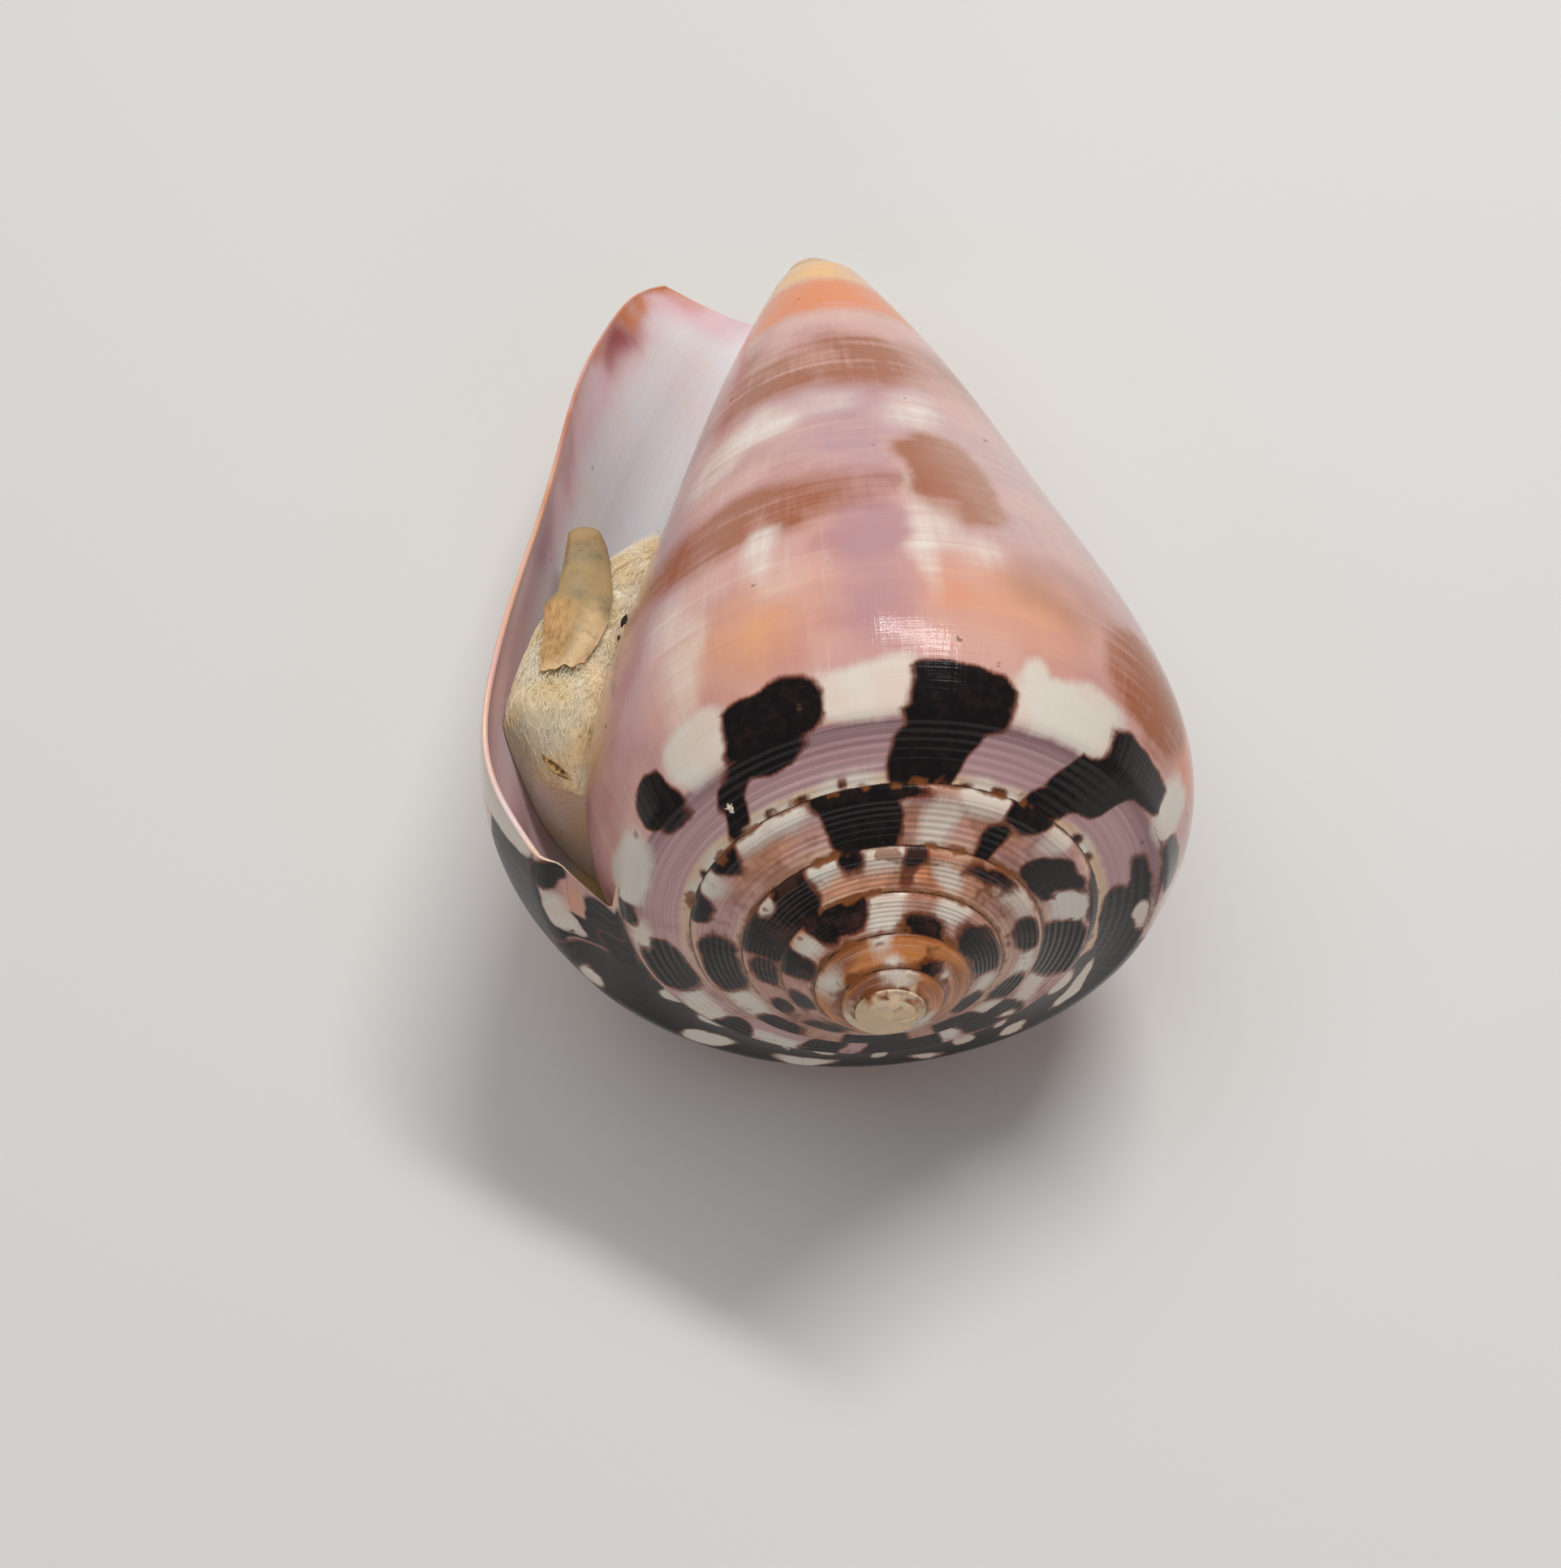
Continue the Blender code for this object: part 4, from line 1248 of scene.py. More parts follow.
@dataclass(frozen=True)
class HornFinish:
    """The thin horny plate, olive and see-through, with dark spots."""

    olive: Colour = srgb(168, 142, 100)
    grey: Colour = srgb(144, 128, 98)
    umber: Colour = srgb(158, 116, 68)
    amber: Colour = srgb(200, 158, 104)
    cotton: Colour = srgb(226, 196, 150)
    spot: Colour = srgb(110, 92, 62)

    def material(self) -> bpy.types.Material:
        """Builds the material."""
        paint = Paint("horn")
        place = paint.object_place()
        cloud = paint.noise(place, 420.0, 4.0, 0.6)
        grain = paint.noise(place, 2600.0, 4.0)
        along = paint.attribute("along")
        side = paint.attribute("side")
        base = paint.mix(cloud.rise(0.38, 0.66), self.olive, self.grey)
        base = paint.mix(along.rise(0.78, 1.0) * cloud.rise(0.30, 0.62) * 0.75, base, self.umber)
        wander = (cloud - 0.5) * 1.2
        torn = (along + wander * 0.2).rise(0.52, 0.40) * (side + wander * 0.5).rise(-0.30, 0.30)
        weave = paint.vector(side * 5.0 + along * 3.0 + wander, along * 9.0 - side * 1.2 + wander)
        folds = paint.noise(weave, 1.0, 4.0, 0.7)
        glue = paint.mix(folds.rise(0.28, 0.60), self.umber, self.amber)
        base = paint.mix(torn * 0.85, base, glue)
        corner = (along + wander * 0.3).rise(0.5, 0.2) * (side + wander * 0.4).rise(0.1, -0.5)
        base = paint.mix(corner * 0.8, base, self.cotton)
        base = paint.mix((along + wander * 0.12).rise(0.10, 0.0) * 0.7, base, self.cotton)
        blots = (cloud * 0.6 + grain * 0.5).rise(0.60, 0.68)
        base = paint.mix(blots * 0.3, base, self.spot)
        spots = paint.cells(place, 1300.0).rise(0.24, 0.10) * along.rise(0.3, 0.9) * cloud.rise(0.4, 0.55)
        base = paint.mix(spots * 0.3, base, self.spot)
        edge = paint.attribute("edge").rise(0.90, 1.0) * along.rise(0.1, 0.6)
        base = paint.mix(edge * 0.25, base, self.spot)
        height = (cloud - 0.5) * 0.00005 + (grain - 0.5) * 0.00002 + torn * (folds - 0.5) * 0.00015
        wires = {"Base Color": base, "Normal": paint.bump(height)}
        return paint.finish(wires, {"Roughness": 0.5, "Specular IOR Level": 0.35})


@dataclass(frozen=True)
class CrumbFinish:
    """Dry crumbs of dirt in one colour family."""

    name: str
    light: Colour
    dark: Colour

    def material(self) -> bpy.types.Material:
        """Builds the material."""
        paint = Paint(self.name)
        place = paint.object_place()
        grain = paint.noise(place, 3000.0, 4.0)
        base = paint.mix(grain.rise(0.4, 0.62), self.dark, self.light)
        wires = {"Base Color": base, "Normal": paint.bump((grain - 0.5) * 0.00008)}
        return paint.finish(wires, {"Roughness": 0.7})


@dataclass(frozen=True)
class FloorFinish:
    """A plain pale matt floor."""

    colour: Colour = srgb(214, 212, 208)
    cloud: Colour = srgb(196, 194, 190)

    def material(self) -> bpy.types.Material:
        """Builds the material."""
        paint = Paint("floor")
        cloud = paint.noise(paint.object_place(), 3.0, 2.0)
        base = paint.mix(cloud * 0.05, self.colour, self.cloud)
        return paint.finish({"Base Color": base}, {"Roughness": 0.85})


@dataclass
class Shell:
    """The shell, as one closed surface of fine steps."""

    steps: int = 256
    ramp_steps: int = 16
    neck_steps: int = 4
    corner_steps: int = 3
    flank_steps: int = 78
    core_steps: int = 36
    flank_grading: float = 1.3
    edge_steps: int = 8
    canal_edge_steps: int = 3
    dome_steps: int = 5
    edge_bulge: float = 0.35
    notch_thinning: float = 0.8
    tip_fullness: float = 0.8
    apex_fullness: float = 0.3
    tip_lean: float = 0.0016
    tip_peak: float = 0.0020
    nucleus_turn: float = 3.2
    nucleus_reach: float = 3.4
    nucleus_rise: float = 0.0015
    nucleus_shrink: float = 0.20
    glaze: ShellGlaze = field(default_factory=ShellGlaze)
    pattern: ShellPattern = field(default_factory=ShellPattern)

    def build(self) -> bpy.types.Object:
        """Builds the shell in place of its solid.

        Returns:
            The finished piece.
        """
        sheets = [self._sheet(patch) for patch in self._patches()]
        shell = joined("cone_shell", sheets)
        self._close(shell)
        self._cut_flat_spot(shell)
        select_only(shell)
        bpy.ops.object.shade_smooth_by_angle(angle=math.radians(50.0))
        shell.data.materials.append(self.glaze.material())
        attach(shell, BODY)
        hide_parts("shell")
        return shell

    def _turns(self, first: float, last: float) -> Array:
        """Evenly spaced turns, as a column."""
        return np.linspace(first, last, round((last - first) * self.steps) + 1)[:, None]

    def _ramp_places(self) -> Array:
        """Section places on the ramp, without the shoulder, as a row."""
        return np.linspace(-1.0, 0.0, self.ramp_steps + 1)[None, :-1]

    def _flank_places(self, turn: Array, end: Array | float, count: int) -> Array:
        """Section places from the corner down to an end."""
        start = FORM.corner_fraction(turn)
        steps = np.linspace(0.0, 1.0, count + 1)[None, :] ** self.flank_grading
        return start + (end - start) * steps

    def _neck_places(self, turn: Array) -> Array:
        """Section places from the shoulder past the suture to the corner, without the corner."""
        suture = FORM.suture_fraction(turn)
        corner = FORM.corner_fraction(turn)
        neck = suture * np.linspace(0.0, 1.0, self.neck_steps + 1)[None, :-1]
        throat = suture + (corner - suture) * np.linspace(0.0, 1.0, self.corner_steps + 1)[None, :-1]
        return np.concatenate([neck, throat], 1)

    def _outer(self, turn: Array) -> tuple[Array, Array]:
        """Points and section places of the outer surface, one row for each turn."""
        ramp = self._ramp_places() + 0.0 * turn
        side = np.concatenate([self._neck_places(turn), self._flank_places(turn, 1.0, self.flank_steps)], 1)
        places = np.concatenate([ramp, side], 1)
        lead = np.concatenate([FORM.ramp_lead(turn, ramp + 1.0), FORM.flank_lead(turn, side)], 1)
        wide_turn = turn + 0.0 * places
        radius, height = self._raised(wide_turn, places, *FORM.rounded(wide_turn, places))
        return FORM.place(turn, radius, height, lead), places

    def _raised(self, turn: Array, place: Array, radius: Array, height: Array) -> tuple[Array, Array]:
        """Draws the small whorls together and lifts them, as a low nucleus."""
        across = np.clip(place + 1.0, 0.0, 1.0)
        shares = [
            smoothstep((-whorl - self.nucleus_turn) / self.nucleus_reach) for whorl in (turn - 1.0, turn)
        ]
        lift = shares[0] + (shares[1] - shares[0]) * across
        return radius * (1.0 - self.nucleus_shrink * lift**2), height + self.nucleus_rise * lift

    def _canal_end(self, turn: Array) -> Array:
        """Flank fraction where the hollow ends."""
        behind = (-turn - FORM.canal_turns) / FORM.lip_reach
        return 1.0 - FORM.canal_floor_rise * smoothstep(behind)

    def _inner(self, turn: Array) -> tuple[Array, Array]:
        """Points and section places of the inside of the wall, thin round the notch."""
        across = self._ramp_places() + 1.0
        flank = self._flank_places(turn, self._canal_end(turn), self.flank_steps)
        places = np.concatenate([self._neck_places(turn), flank], 1)
        radius, height = FORM.inner_flank(turn, places)
        corner = FORM.flank(turn - 1.0, FORM.corner_fraction(turn - 1.0))
        ramp_radius = corner[0] + (radius[:, :1] - corner[0]) * across
        ramp_height = corner[1] + (height[:, :1] - corner[1]) * across
        thin = self.notch_thinning * smoothstep(across / 0.12) * smoothstep(1.0 + turn / 0.06)
        outer_radius, outer_height = FORM.ramp(turn, across)
        ramp_radius = ramp_radius + (outer_radius - ramp_radius) * thin * (1.0 - across) ** 0.5
        ramp_height = ramp_height + (outer_height - ramp_height) * thin * (1.0 - across) ** 0.5
        ramp = FORM.place(turn, ramp_radius, ramp_height, FORM.ramp_lead(turn, across))
        flank = FORM.place(turn, radius, height, FORM.flank_lead(turn, places))
        all_places = np.concatenate([across - 1.0 + 0.0 * turn, places], 1)
        return np.concatenate([ramp, flank], 1), all_places

    def _core(self, turn: Array) -> tuple[Array, Array]:
        """Points and section places of the body whorl inside the hollow."""
        earlier = turn - 1.0
        places = self._flank_places(earlier, self._canal_end(turn), self.core_steps)
        return FORM.place(earlier, *FORM.flank(earlier, places)), places

    def _rim(self, outer: Array, inner: Array) -> Array:
        """Rows round the lip's edge from the outer surface to the inside."""
        azimuth = FORM.lip_azimuth
        ahead = np.array((math.sin(azimuth), -math.cos(azimuth), 0.0))
        half = np.linalg.norm(outer - inner, axis=1, keepdims=True) / 2.0
        half[0] = 0.0
        half[-1] = 0.0
        rows = []
        for angle in np.linspace(0.0, math.pi, self.edge_steps + 1):
            across = (outer + inner) / 2.0 + (outer - inner) / 2.0 * math.cos(angle)
            rows.append(across + ahead * half * 2.0 * self.edge_bulge * math.sin(angle))
        return np.stack(rows)

    def _patches(self) -> list[Patch]:
        """All the patches of the surface, in the shell's own frame."""
        turns = self._turns(-1.0, 0.0)
        outer, outer_places = self._outer(turns)
        spire_turns = self._turns(-FORM.spire_turns, -1.0)
        width = self.ramp_steps + self.neck_steps + 1
        spire, spire_places = (rows[:, :width] for rows in self._outer(spire_turns))
        hollow = self._turns(-FORM.cavity_turns, 0.0)
        inner, inner_places = self._inner(hollow)
        core, core_places = self._core(hollow)
        rim = self._rim(outer[-1], inner[-1])
        depth = smoothstep((-hollow - 0.02) / 0.10)
        canal = round(FORM.canal_turns * self.steps)
        closed = len(inner) - canal
        edge = np.linspace(0.0, 1.0, self.canal_edge_steps + 1)[:, None, None]
        canal_rim = outer[-1 - canal :, -1] * (1.0 - edge) + inner[-1 - canal :, -1] * edge
        floor = inner[:closed, -1] * (1.0 - edge) + core[:closed, -1] * edge
        tip_loop = [outer[: len(outer) - canal, -1], inner[closed - 1 : closed, -1]]
        tip_loop = np.concatenate([*tip_loop, core[closed - 1 :, -1]])
        earliest = self._turns(-FORM.spire_turns - 1.0, -FORM.spire_turns)
        start_place = FORM.suture_fraction(earliest)
        start = self._raised(earliest, start_place, *FORM.flank(earliest, start_place))
        start = FORM.place(earliest, *start)[:, 0]
        apex_loop = np.concatenate([start, spire[0][::-1]])
        lean = self.tip_lean * np.array((math.cos(FORM.lip_azimuth), math.sin(FORM.lip_azimuth)))
        peak = (*lean, -FORM.tip_depth - FORM.tip_dome - self.tip_peak)
        apex = self.nucleus_rise - FORM.apex_dome
        patches = [
            Patch("outer", outer, turns, outer_places, Side.OUTER, 0.0),
            Patch("spire", spire, spire_turns, spire_places, Side.OUTER, 0.0, spire_places[:, -1:]),
            Patch("inner", inner, hollow, inner_places, Side.INNER, 1.0),
            Patch("core", core, hollow - 1.0, core_places, Side.CORE, depth),
            Patch("rim", rim, np.zeros((1, 1)), outer_places[-1:], Side.RIM, 1.0),
            Patch("canal", canal_rim, hollow[-1 - canal :, 0][None, :], 1.0, Side.RIM, 1.0),
            Patch("floor", floor, hollow[:closed, 0][None, :], 1.0, Side.INNER, 1.0),
            self._dome("tip", tip_loop, peak, self.tip_fullness, (-0.5, 1.0)),
            self._dome("apex", apex_loop, (0.0, 0.0, apex), self.apex_fullness, (-7.6, 0.0)),
        ]
        return patches

    def _dome(
        self, name: str, loop: Array, hub: tuple[float, ...], full: float, growth: tuple[float, float]
    ) -> Patch:
        """A low dome from a loop of points to its hub."""
        share = np.linspace(0.0, 1.0, self.dome_steps + 1)[:, None, None]
        centre = np.array(hub)
        flat = loop + (centre - loop) * share
        lift = (centre[2] - loop[:, 2])[None, :, None] * np.array((0.0, 0.0, 1.0))
        points = flat + lift * (np.sqrt(1.0 - (1.0 - share) ** 2) - share) * full
        turn, section = (np.full((1, 1), value) for value in growth)
        return Patch(name, points, turn, section, Side.OUTER, 0.0)

    def _sheet(self, patch: Patch) -> bpy.types.Object:
        """Wraps a grid onto a patch and stores its growth map and colour masks."""
        sheet = wrapped_grid(patch.name, to_world(patch.points))
        mesh = sheet.data
        down = FORM.down(patch.turn, patch.section) / MM / GROWTH_SPAN
        growth = np.stack([patch.turn.ravel(), down.ravel()], -1)[corner_points(mesh)]
        layer = mesh.uv_layers.new(name=GROWTH_MAP)
        layer.data.foreach_set("uv", growth.astype(np.float32).ravel())
        store(mesh, self.pattern.masks(patch) | {"section": patch.section})
        return sheet

    def _close(self, shell: bpy.types.Object) -> None:
        """Fills what is still open, which is the flat end deep in the hollow."""
        select_only(shell)
        bpy.ops.object.mode_set(mode="EDIT")
        bpy.ops.mesh.select_mode(type="VERT")
        bpy.ops.mesh.select_all(action="DESELECT")
        bpy.ops.mesh.select_non_manifold()
        bpy.ops.mesh.fill_holes(sides=0)
        bpy.ops.mesh.select_all(action="SELECT")
        bpy.ops.mesh.normals_make_consistent(inside=False)
        bpy.ops.object.mode_set(mode="OBJECT")

    def _cut_flat_spot(self, shell: bpy.types.Object) -> None:
        """Cuts the flat spot on which the shell rests."""
        select_only(shell)
        bpy.ops.object.mode_set(mode="EDIT")
        bpy.ops.mesh.select_all(action="SELECT")
        down = (0.0, 0.0, -1.0)
        bpy.ops.mesh.bisect(plane_co=(0.0, 0.0, 0.0), plane_no=down, use_fill=True, clear_outer=True)
        bpy.ops.object.mode_set(mode="OBJECT")


@dataclass
class CottonPlug:
    """The wad of cotton wool in the hollow, lumpy and with loose fibres."""

    height_steps: int = 150
    across_steps: int = 70
    depth_steps: int = 24
    lump: float = 0.0002
    lump_size: float = 0.0030
    tuft: float = 0.00015
    tuft_size: float = 0.0009
    fibres: int = 2600
    fibre_points: int = 7
    fibre_radius: float = 0.000013
    fibre_lift: float = 0.0005
    fibre_sway: float = 0.00012
    fibre_lengths: tuple[float, float] = (0.0012, 0.0045)
    fibre_gap: float = 0.00012
    front_width: float = 0.009
    flank_length: float = 0.064
    top_spill: float = 0.012
    seed: int = 5
    wall_gap: float = 0.00005
    finish: CottonFinish = field(default_factory=CottonFinish)

    def build(self) -> list[bpy.types.Object]:
        """Builds the wad and its fibres in place of the plug's solid.

        Returns:
            The finished pieces.
        """
        wad = self._wad()
        wad.data.materials.append(self.finish.material("cotton", fibres=False))
        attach(wad, BODY)
        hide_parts("cotton_plug")
        fibres = self._loose_fibres()
        fibres.data.materials.append(self.finish.material("cotton_fibres", fibres=True))
        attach(fibres, BODY)
        return [wad, fibres]

    def _point(self, height: Array, across: Array, depth: Array | float) -> Array:
        """A point of the wad with its lumps, which are strongest on the front."""
        foot = HOLLOW.foot(across)
        fraction = foot + (HOLLOW.top(across) - foot) * height
        front = HOLLOW.soft_front(fraction, across)
        smooth = HOLLOW.point(front - (HOLLOW.plug_back + front) * depth, fraction, across)
        bumps = lumps(smooth, self.lump_size, 3) * self.lump + lumps(smooth, self.tuft_size, 8) * self.tuft
        rim = 1.0 - np.maximum(np.abs(2.0 * across - 1.0), np.abs(2.0 * height - 1.0)) ** 8
        shift = (bumps - 2.0 * self.tuft) * rim * (1.0 - depth)
        turn = front - (HOLLOW.plug_back + front) * depth + shift / (2.0 * math.pi * HOLLOW.mean_radius)
        return HOLLOW.point(turn, fraction, across, gap=self.wall_gap)

    def _wad(self) -> bpy.types.Object:
        """The closed body of the wad."""
        heights = np.linspace(0.0, 1.0, self.height_steps + 1)
        acrosses = np.linspace(0.0, 1.0, self.across_steps + 1)
        depths = np.linspace(0.0, 1.0, self.depth_steps + 1) ** 1.5
        sides = [self._point(heights[:, None], acrosses[None, :], depth) for depth in (0.0, 1.0)]
        sides += [self._point(heights[:, None], across, depths[None, :]) for across in (0.0, 1.0)]
        sides += [self._point(height, acrosses[:, None], depths[None, :]) for height in (0.0, 1.0)]
        sheets = [wrapped_grid("cotton", to_world(side)) for side in sides]
        wad = joined("cotton_wad", sheets)
        select_only(wad)
        bpy.ops.object.shade_smooth_by_angle(angle=math.radians(60.0))
        return wad

    def _loose_fibres(self) -> bpy.types.Object:
        """Curled fibres that lie on the wad's front and cling to the walls beside it."""
        random = np.random.default_rng(self.seed)
        count, points = self.fibres, self.fibre_points
        step = np.linspace(-0.5, 0.5, points)[None, :]
        across = random.uniform(0.0, 1.0, (count, 1))
        height = random.uniform(0.0, 1.03, (count, 1))
        heading = random.uniform(0.0, 2.0 * math.pi, (count, 1))
        curl = random.normal(0.0, 1.6, (count, 1))
        length = random.uniform(*self.fibre_lengths, (count, 1))
        angle = heading + curl * step
        along = np.cumsum(np.cos(angle), 1) / points * length
        aside = np.cumsum(np.sin(angle), 1) / points * length
        across = across + (aside - aside.mean(1, keepdims=True)) / self.front_width
        across = np.clip(1.0 - np.abs(1.0 - np.abs(across)), 0.0, 1.0)
        top = HOLLOW.top(across)
        foot = HOLLOW.foot(across)
        fraction = foot + (top - foot) * height
        fraction = fraction + (along - along.mean(1, keepdims=True)) / self.flank_length
        fraction = np.clip(fraction, foot, top + self.top_spill)
        front = HOLLOW.soft_front(np.clip(fraction, foot, top), across)
        lift = random.uniform(-0.1, 1.0, (count, 1)) ** 3 * self.fibre_lift
        sway = random.normal(0.0, self.fibre_sway, (count, points))
        turn = front + (lift + sway) / (2.0 * math.pi * HOLLOW.mean_radius)
        paths = to_world(HOLLOW.point(turn, fraction, across, gap=self.fibre_gap))
        return self._tubes("cotton_fibres", paths)

    def _tubes(self, name: str, paths: Array) -> bpy.types.Object:
        """Thin closed tubes along paths."""
        curve = bpy.data.curves.new(name, "CURVE")
        curve.dimensions = "3D"
        curve.bevel_depth = self.fibre_radius
        curve.bevel_resolution = 0
        curve.use_fill_caps = True
        for path in paths:
            spline = curve.splines.new("POLY")
            spline.points.add(len(path) - 1)
            rows = np.concatenate([path, np.ones((len(path), 1))], 1)
            spline.points.foreach_set("co", rows.ravel())
        tubes = bpy.data.objects.new(name, curve)
        bpy.context.scene.collection.objects.link(tubes)
        select_only(tubes)
        bpy.ops.object.convert(target="MESH")
        return bpy.context.object


@dataclass
class Operculum:
    """The horny plate that is stuck on the cotton, cut straight at the top and torn at the bottom."""

    right_edge: Rows = (
        (0.00, 0.2567, 0.235),
        (0.08, 0.2683, 0.206),
        (0.18, 0.2861, 0.160),
        (0.36, 0.3198, 0.132),
        (0.54, 0.3531, 0.178),
        (0.78, 0.3980, 0.326),
        (0.90, 0.4211, 0.424),
        (1.00, 0.4393, 0.540),
    )
    left_edge: Rows = (
        (0.00, 0.2325, 0.647),
        (0.15, 0.2606, 0.709),
        (0.33, 0.2920, 0.748),
        (0.46, 0.3154, 0.815),
        (0.52, 0.3275, 0.760),
        (0.58, 0.3373, 0.729),
        (0.78, 0.3752, 0.766),
        (1.00, 0.4226, 0.819),
    )
    along_steps: int = 90
    side_steps: int = 40
    thickness: float = 0.00014
    arch: float = 0.0003
    ripple: float = 0.00007
    finish: HornFinish = field(default_factory=HornFinish)

    def build(self) -> bpy.types.Object:
        """Builds the plate in place of its solid.

        Returns:
            The finished piece.
        """
        along = np.linspace(0.0, 1.0, self.along_steps + 1)[:, None]
        side = np.linspace(-1.0, 1.0, self.side_steps + 1)[None, :]
        faces = [self._points(along, side, level) for level in (0.0, 1.0)]
        borders = (np.s_[0], np.s_[-1], np.s_[:, 0], np.s_[:, -1])
        edges = [np.stack([face[border] for face in faces]) for border in borders]
        sheets = [self._sheet(rows) for rows in faces + edges]
        plate = joined("operculum_plate", sheets)
        select_only(plate)
        bpy.ops.object.shade_smooth_by_angle(angle=math.radians(50.0))
        plate.data.materials.append(self.finish.material())
        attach(plate, BODY)
        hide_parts("operculum")
        return plate

    def _edge(self, table: Rows, along: Array) -> tuple[Array, Array]:
        """Flank fraction and place across of one long edge."""
        rows = np.array(table).T
        return np.interp(along, rows[0], rows[1]), np.interp(along, rows[0], rows[2])

    def _points(self, along: Array, side: Array, level: float) -> Array:
        """Points of the underside at level 0 or the top at level 1, with the masks' coordinates."""
        right = self._edge(self.right_edge, along)
        left = self._edge(self.left_edge, along)
        share = (side + 1.0) / 2.0
        fraction = right[0] + (left[0] - right[0]) * share
        across = right[1] + (left[1] - right[1]) * share
        ragged = lumps(np.stack([share * 6.0, share * 0.0, share * 0.0], -1), 1.0, 4)
        sag = 0.004 * (1.0 - side**2) - 0.003 * ragged
        fraction = fraction - sag * (1.0 - smoothstep(along / 0.22))
        shape = HOLLOW.point(-HOLLOW.plug_front, fraction, across)
        ripple = lumps(shape, 0.0018, 6) * self.ripple
        edge = np.minimum(1.0 - np.abs(side), np.minimum(along, 1.0 - along) * 4.0)
        body = 0.35 + 0.65 * smoothstep(edge / 0.25)
        lift = HOLLOW.fit_gap + self.arch * (1.0 - side**2) + (ripple + self.thickness * level) * body
        turn = -HOLLOW.plug_front + lift / (2.0 * math.pi * FORM.flank(-1.0, fraction)[0])
        points = HOLLOW.point(turn, fraction, across)
        masks = (along + 0.0 * side, 0.0 * along + side, 1.0 - edge)
        return np.concatenate([points, np.stack(masks, -1)], -1)

    def _sheet(self, rows: Array) -> bpy.types.Object:
        """Wraps a grid and stores where on the plate each corner is."""
        sheet = wrapped_grid("plate", to_world(rows[..., :3]))
        store(sheet.data, dict(zip(("along", "side", "edge"), np.moveaxis(rows[..., 3:], -1, 0))))
        return sheet


@dataclass(frozen=True)
class Crumb:
    """One loose fleck that is stuck on the shell or in the cotton."""

    name: str
    size: tuple[float, float, float]
    finish: CrumbFinish
    start: tuple[float, float, float]
    end: tuple[float, float, float]
    bend: float = 0.0
    hollow_out: float = 0.0
    rough: float = 0.1
    seed: int = 1

    def build(self) -> bpy.types.Object:
        """Builds the fleck from a ball that is drawn out, bent and dented.

        Returns:
            The finished piece.
        """
        bpy.ops.object.select_all(action="DESELECT")
        bpy.ops.mesh.primitive_ico_sphere_add(subdivisions=5, radius=1.0)
        fleck = bpy.context.object
        fleck.name = self.name
        fleck.data.name = self.name
        points = np.empty(len(fleck.data.vertices) * 3, np.float32)
        fleck.data.vertices.foreach_get("co", points)
        points = points.reshape(-1, 3).astype(float)
        dents = 1.0 + self.rough * lumps(points, 0.55, self.seed) + 0.4 * self.rough * lumps(points, 0.2, 9)
        x, y, z = (points * dents[:, None]).T
        taper = 1.0 - 0.35 * np.abs(x) ** 2
        z = z * taper - self.hollow_out * np.maximum(z, 0.0) * (1.0 - x**2) * (1.0 - y**2) * 1.6
        y = y * taper + self.bend * x**2
        shaped = np.stack([x, y, z], -1) * np.array(self.size) / 2.0
        start, end = Vector(self.start), Vector(self.end)
        axis = (end - start).normalized()
        up = self._up(axis)
        frame_axes = np.array([axis, up.cross(axis), up])
        placed = shaped @ frame_axes + np.array((start + end) / 2.0)
        fleck.data.vertices.foreach_set("co", placed.astype(np.float32).ravel())
        fleck.data.update()
        select_only(fleck)
        bpy.ops.object.shade_smooth()
        fleck.data.materials.append(self.finish.material())
        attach(fleck, BODY)
        return fleck

    def _up(self, axis: Vector) -> Vector:
        """The way the fleck's flat side faces, which is towards the viewer and square to its axis."""
        view = Vector((0.0, -0.42, 0.91))
        return (view - axis * view.dot(axis)).normalized()


def in_hollow(turn: float, fraction: float, across: float) -> tuple[float, ...]:
    """A world point given by its place in the hollow."""
    point = HOLLOW.point(np.float64(turn), np.float64(fraction), np.float64(across))
    return tuple(to_world(point[None, :])[0])


def on_shell(turn: float, section: float, lift: float) -> tuple[float, ...]:
    """A world point at a lift above the shell's outer surface."""
    turns = np.array([turn, turn + 0.001, turn])
    sections = np.array([section, section, section + 0.004])
    radius, height = FORM.rounded(turns, sections)
    here, along, down = to_world(FORM.place(turns, radius, height))
    out = np.cross(down - here, along - here)
    out /= np.linalg.norm(out)
    if out @ (here - to_world(np.array([[0.0, 0.0, here[2]]]))[0]) < 0.0:
        out = -out
    return tuple(here + out * lift)


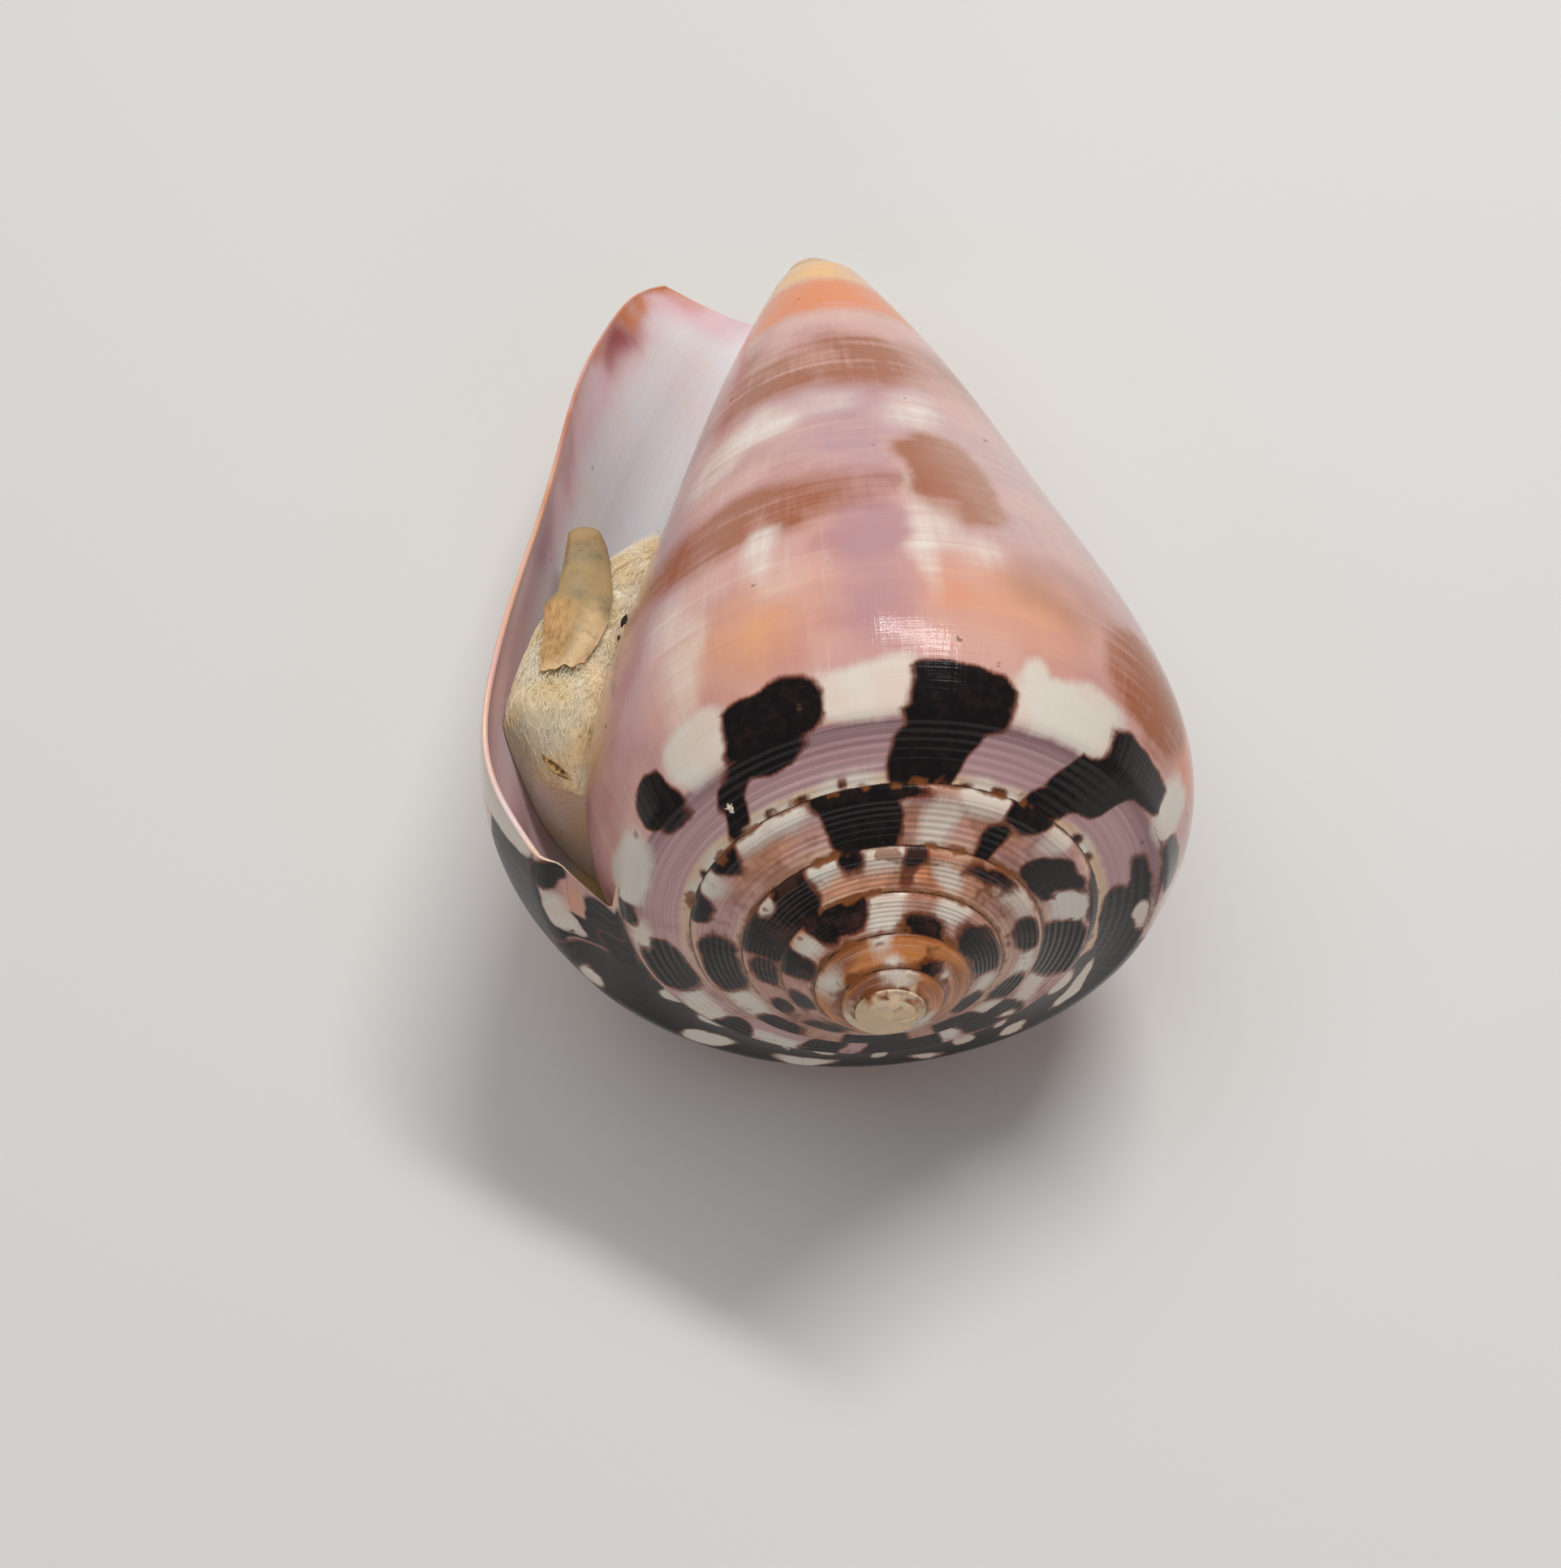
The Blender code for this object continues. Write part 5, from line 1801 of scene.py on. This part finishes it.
def crumbs() -> list[Crumb]:
    """The flecks seen on the cotton, at the body whorl's edge and on the ramp."""
    husk = CrumbFinish("husk", srgb(168, 132, 82), srgb(92, 66, 38))
    chip = CrumbFinish("dark_chip", srgb(52, 38, 26), srgb(16, 12, 10))
    grain = CrumbFinish("white_grain", srgb(244, 236, 222), srgb(206, 186, 160))
    front = -HOLLOW.plug_front + 0.003
    husk_ends = in_hollow(front, 0.1398, 0.465), in_hollow(front, 0.1255, 0.130)
    upper_ends = in_hollow(-0.008, 0.3345, -0.020), in_hollow(-0.008, 0.308, -0.005)
    lower_ends = in_hollow(-0.008, 0.3030, -0.022), in_hollow(-0.008, 0.2930, -0.024)
    grain_ends = on_shell(-0.8865, -0.60, 0.0001), on_shell(-0.8835, -0.60, 0.0001)
    return [
        Crumb("husk_fleck", (0.0023, 0.0006, 0.0005), husk, *husk_ends, bend=0.15, hollow_out=0.9, seed=2),
        Crumb("chip_upper", (0.0011, 0.00028, 0.0003), chip, *upper_ends, rough=0.25, seed=3),
        Crumb("chip_lower", (0.0005, 0.00014, 0.0002), chip, *lower_ends, rough=0.25, seed=4),
        Crumb("white_grain", (0.0008, 0.0006, 0.00035), grain, *grain_ends, bend=0.6, rough=0.35, seed=5),
    ]


@dataclass(frozen=True)
class SoftBox:
    """A soft rectangular lamp that faces the shell.

    Its azimuth runs in degrees from the tip's side towards the right and its elevation from the
    floor. Distance and size are in metres and the power in watts.
    """

    name: str
    azimuth: float
    elevation: float
    distance: float
    size: tuple[float, float]
    power: float
    glints: bool = False
    aim: tuple[float, float, float] = (0.0, -0.005, 0.025)

    def build(self) -> None:
        """Adds the lamp."""
        data = bpy.data.lights.new(self.name, "AREA")
        data.shape = "RECTANGLE"
        data.size, data.size_y = self.size
        data.energy = self.power
        light = bpy.data.objects.new(self.name, data)
        bpy.context.scene.collection.objects.link(light)
        turn = math.radians(self.azimuth)
        rise = math.radians(self.elevation)
        away = Vector((math.sin(turn) * math.cos(rise), math.cos(turn) * math.cos(rise), math.sin(rise)))
        light.location = Vector(self.aim) + away * self.distance
        light.rotation_euler = away.to_track_quat("Z", "Y").to_euler()
        light.visible_glossy = self.glints


@dataclass
class Studio:
    """A pale floor, soft lights and the camera at the photograph's angle."""

    floor_size: float = 3.0
    elevation: float = math.radians(47.206 + 18.0)
    roll: float = math.radians(-3.563)
    distance: float = 0.146678
    aim_depth: float = -0.025
    aim_right: float = -0.00528
    aim_up: float = -0.004726
    focal_pixels: float = 2666.926
    sensor: float = 36.0
    floor_gap: float = 0.00002
    sky: Colour = srgb(232, 234, 238)
    sky_strength: float = 0.26
    lamps: tuple[SoftBox, ...] = (
        SoftBox("key", 32.0, 63.0, 0.55, (0.20, 0.11), 0.5),
        SoftBox("glint", 32.0, 63.0, 0.55, (0.24, 0.045), 1.5, glints=True),
        SoftBox("low", 172.0, 12.0, 0.60, (0.14, 0.12), 0.5),
        SoftBox("left", -55.0, 74.0, 0.9, (0.7, 0.6), 2.6),
    )

    def build(self) -> None:
        """Builds the stage."""
        self._camera()
        self._floor()
        self._world()
        for lamp in self.lamps:
            lamp.build()

    def _camera(self) -> None:
        """Places the camera."""
        lens = self.focal_pixels * self.sensor / IMAGE_LONG_SIDE
        data = bpy.data.cameras.new("camera")
        data.sensor_width = self.sensor
        data.lens = lens
        data.clip_start = 0.01
        data.clip_end = 20.0
        camera = bpy.data.objects.new("camera", data)
        bpy.context.scene.collection.objects.link(camera)
        back = Vector((0.0, -math.cos(self.elevation), math.sin(self.elevation)))
        up = Vector((0.0, math.sin(self.elevation), math.cos(self.elevation)))
        right = Vector((1.0, 0.0, 0.0))
        turned_right = right * math.cos(self.roll) + up * math.sin(self.roll)
        turned_up = up * math.cos(self.roll) - right * math.sin(self.roll)
        aim = REST @ Vector((0.0, 0.0, self.aim_depth))
        spot = aim + back * self.distance + turned_right * self.aim_right + turned_up * self.aim_up
        axes = Matrix((turned_right, turned_up, back)).transposed().to_4x4()
        camera.matrix_world = Matrix.Translation(spot) @ axes
        bpy.context.scene.camera = camera

    def _floor(self) -> None:
        """Adds the floor, with its edges far outside the picture."""
        bpy.ops.object.select_all(action="DESELECT")
        bpy.ops.mesh.primitive_plane_add(size=self.floor_size, location=(0.0, 0.0, -self.floor_gap))
        floor = bpy.context.object
        floor.name = "floor"
        floor.data.materials.append(FloorFinish().material())

    def _world(self) -> None:
        """Sets the soft light from all round."""
        world = bpy.data.worlds.new("studio")
        bpy.context.scene.world = world
        world.use_nodes = True
        background = world.node_tree.nodes["Background"]
        background.inputs["Color"].default_value = self.sky
        background.inputs["Strength"].default_value = self.sky_strength
        bpy.context.scene.view_settings.view_transform = "Standard"


def main() -> None:
    """Builds every piece in order."""
    logging.basicConfig(level=logging.INFO, format="%(message)s")
    shell = Shell().build()
    LOG.info("%s: %d faces", shell.name, len(shell.data.polygons))
    for piece in CottonPlug().build():
        LOG.info("%s: %d faces", piece.name, len(piece.data.polygons))
    plate = Operculum().build()
    LOG.info("%s: %d faces", plate.name, len(plate.data.polygons))
    for crumb in crumbs():
        LOG.info("%s: placed", crumb.build().name)
    Studio().build()


if __name__ == "__main__":
    main()
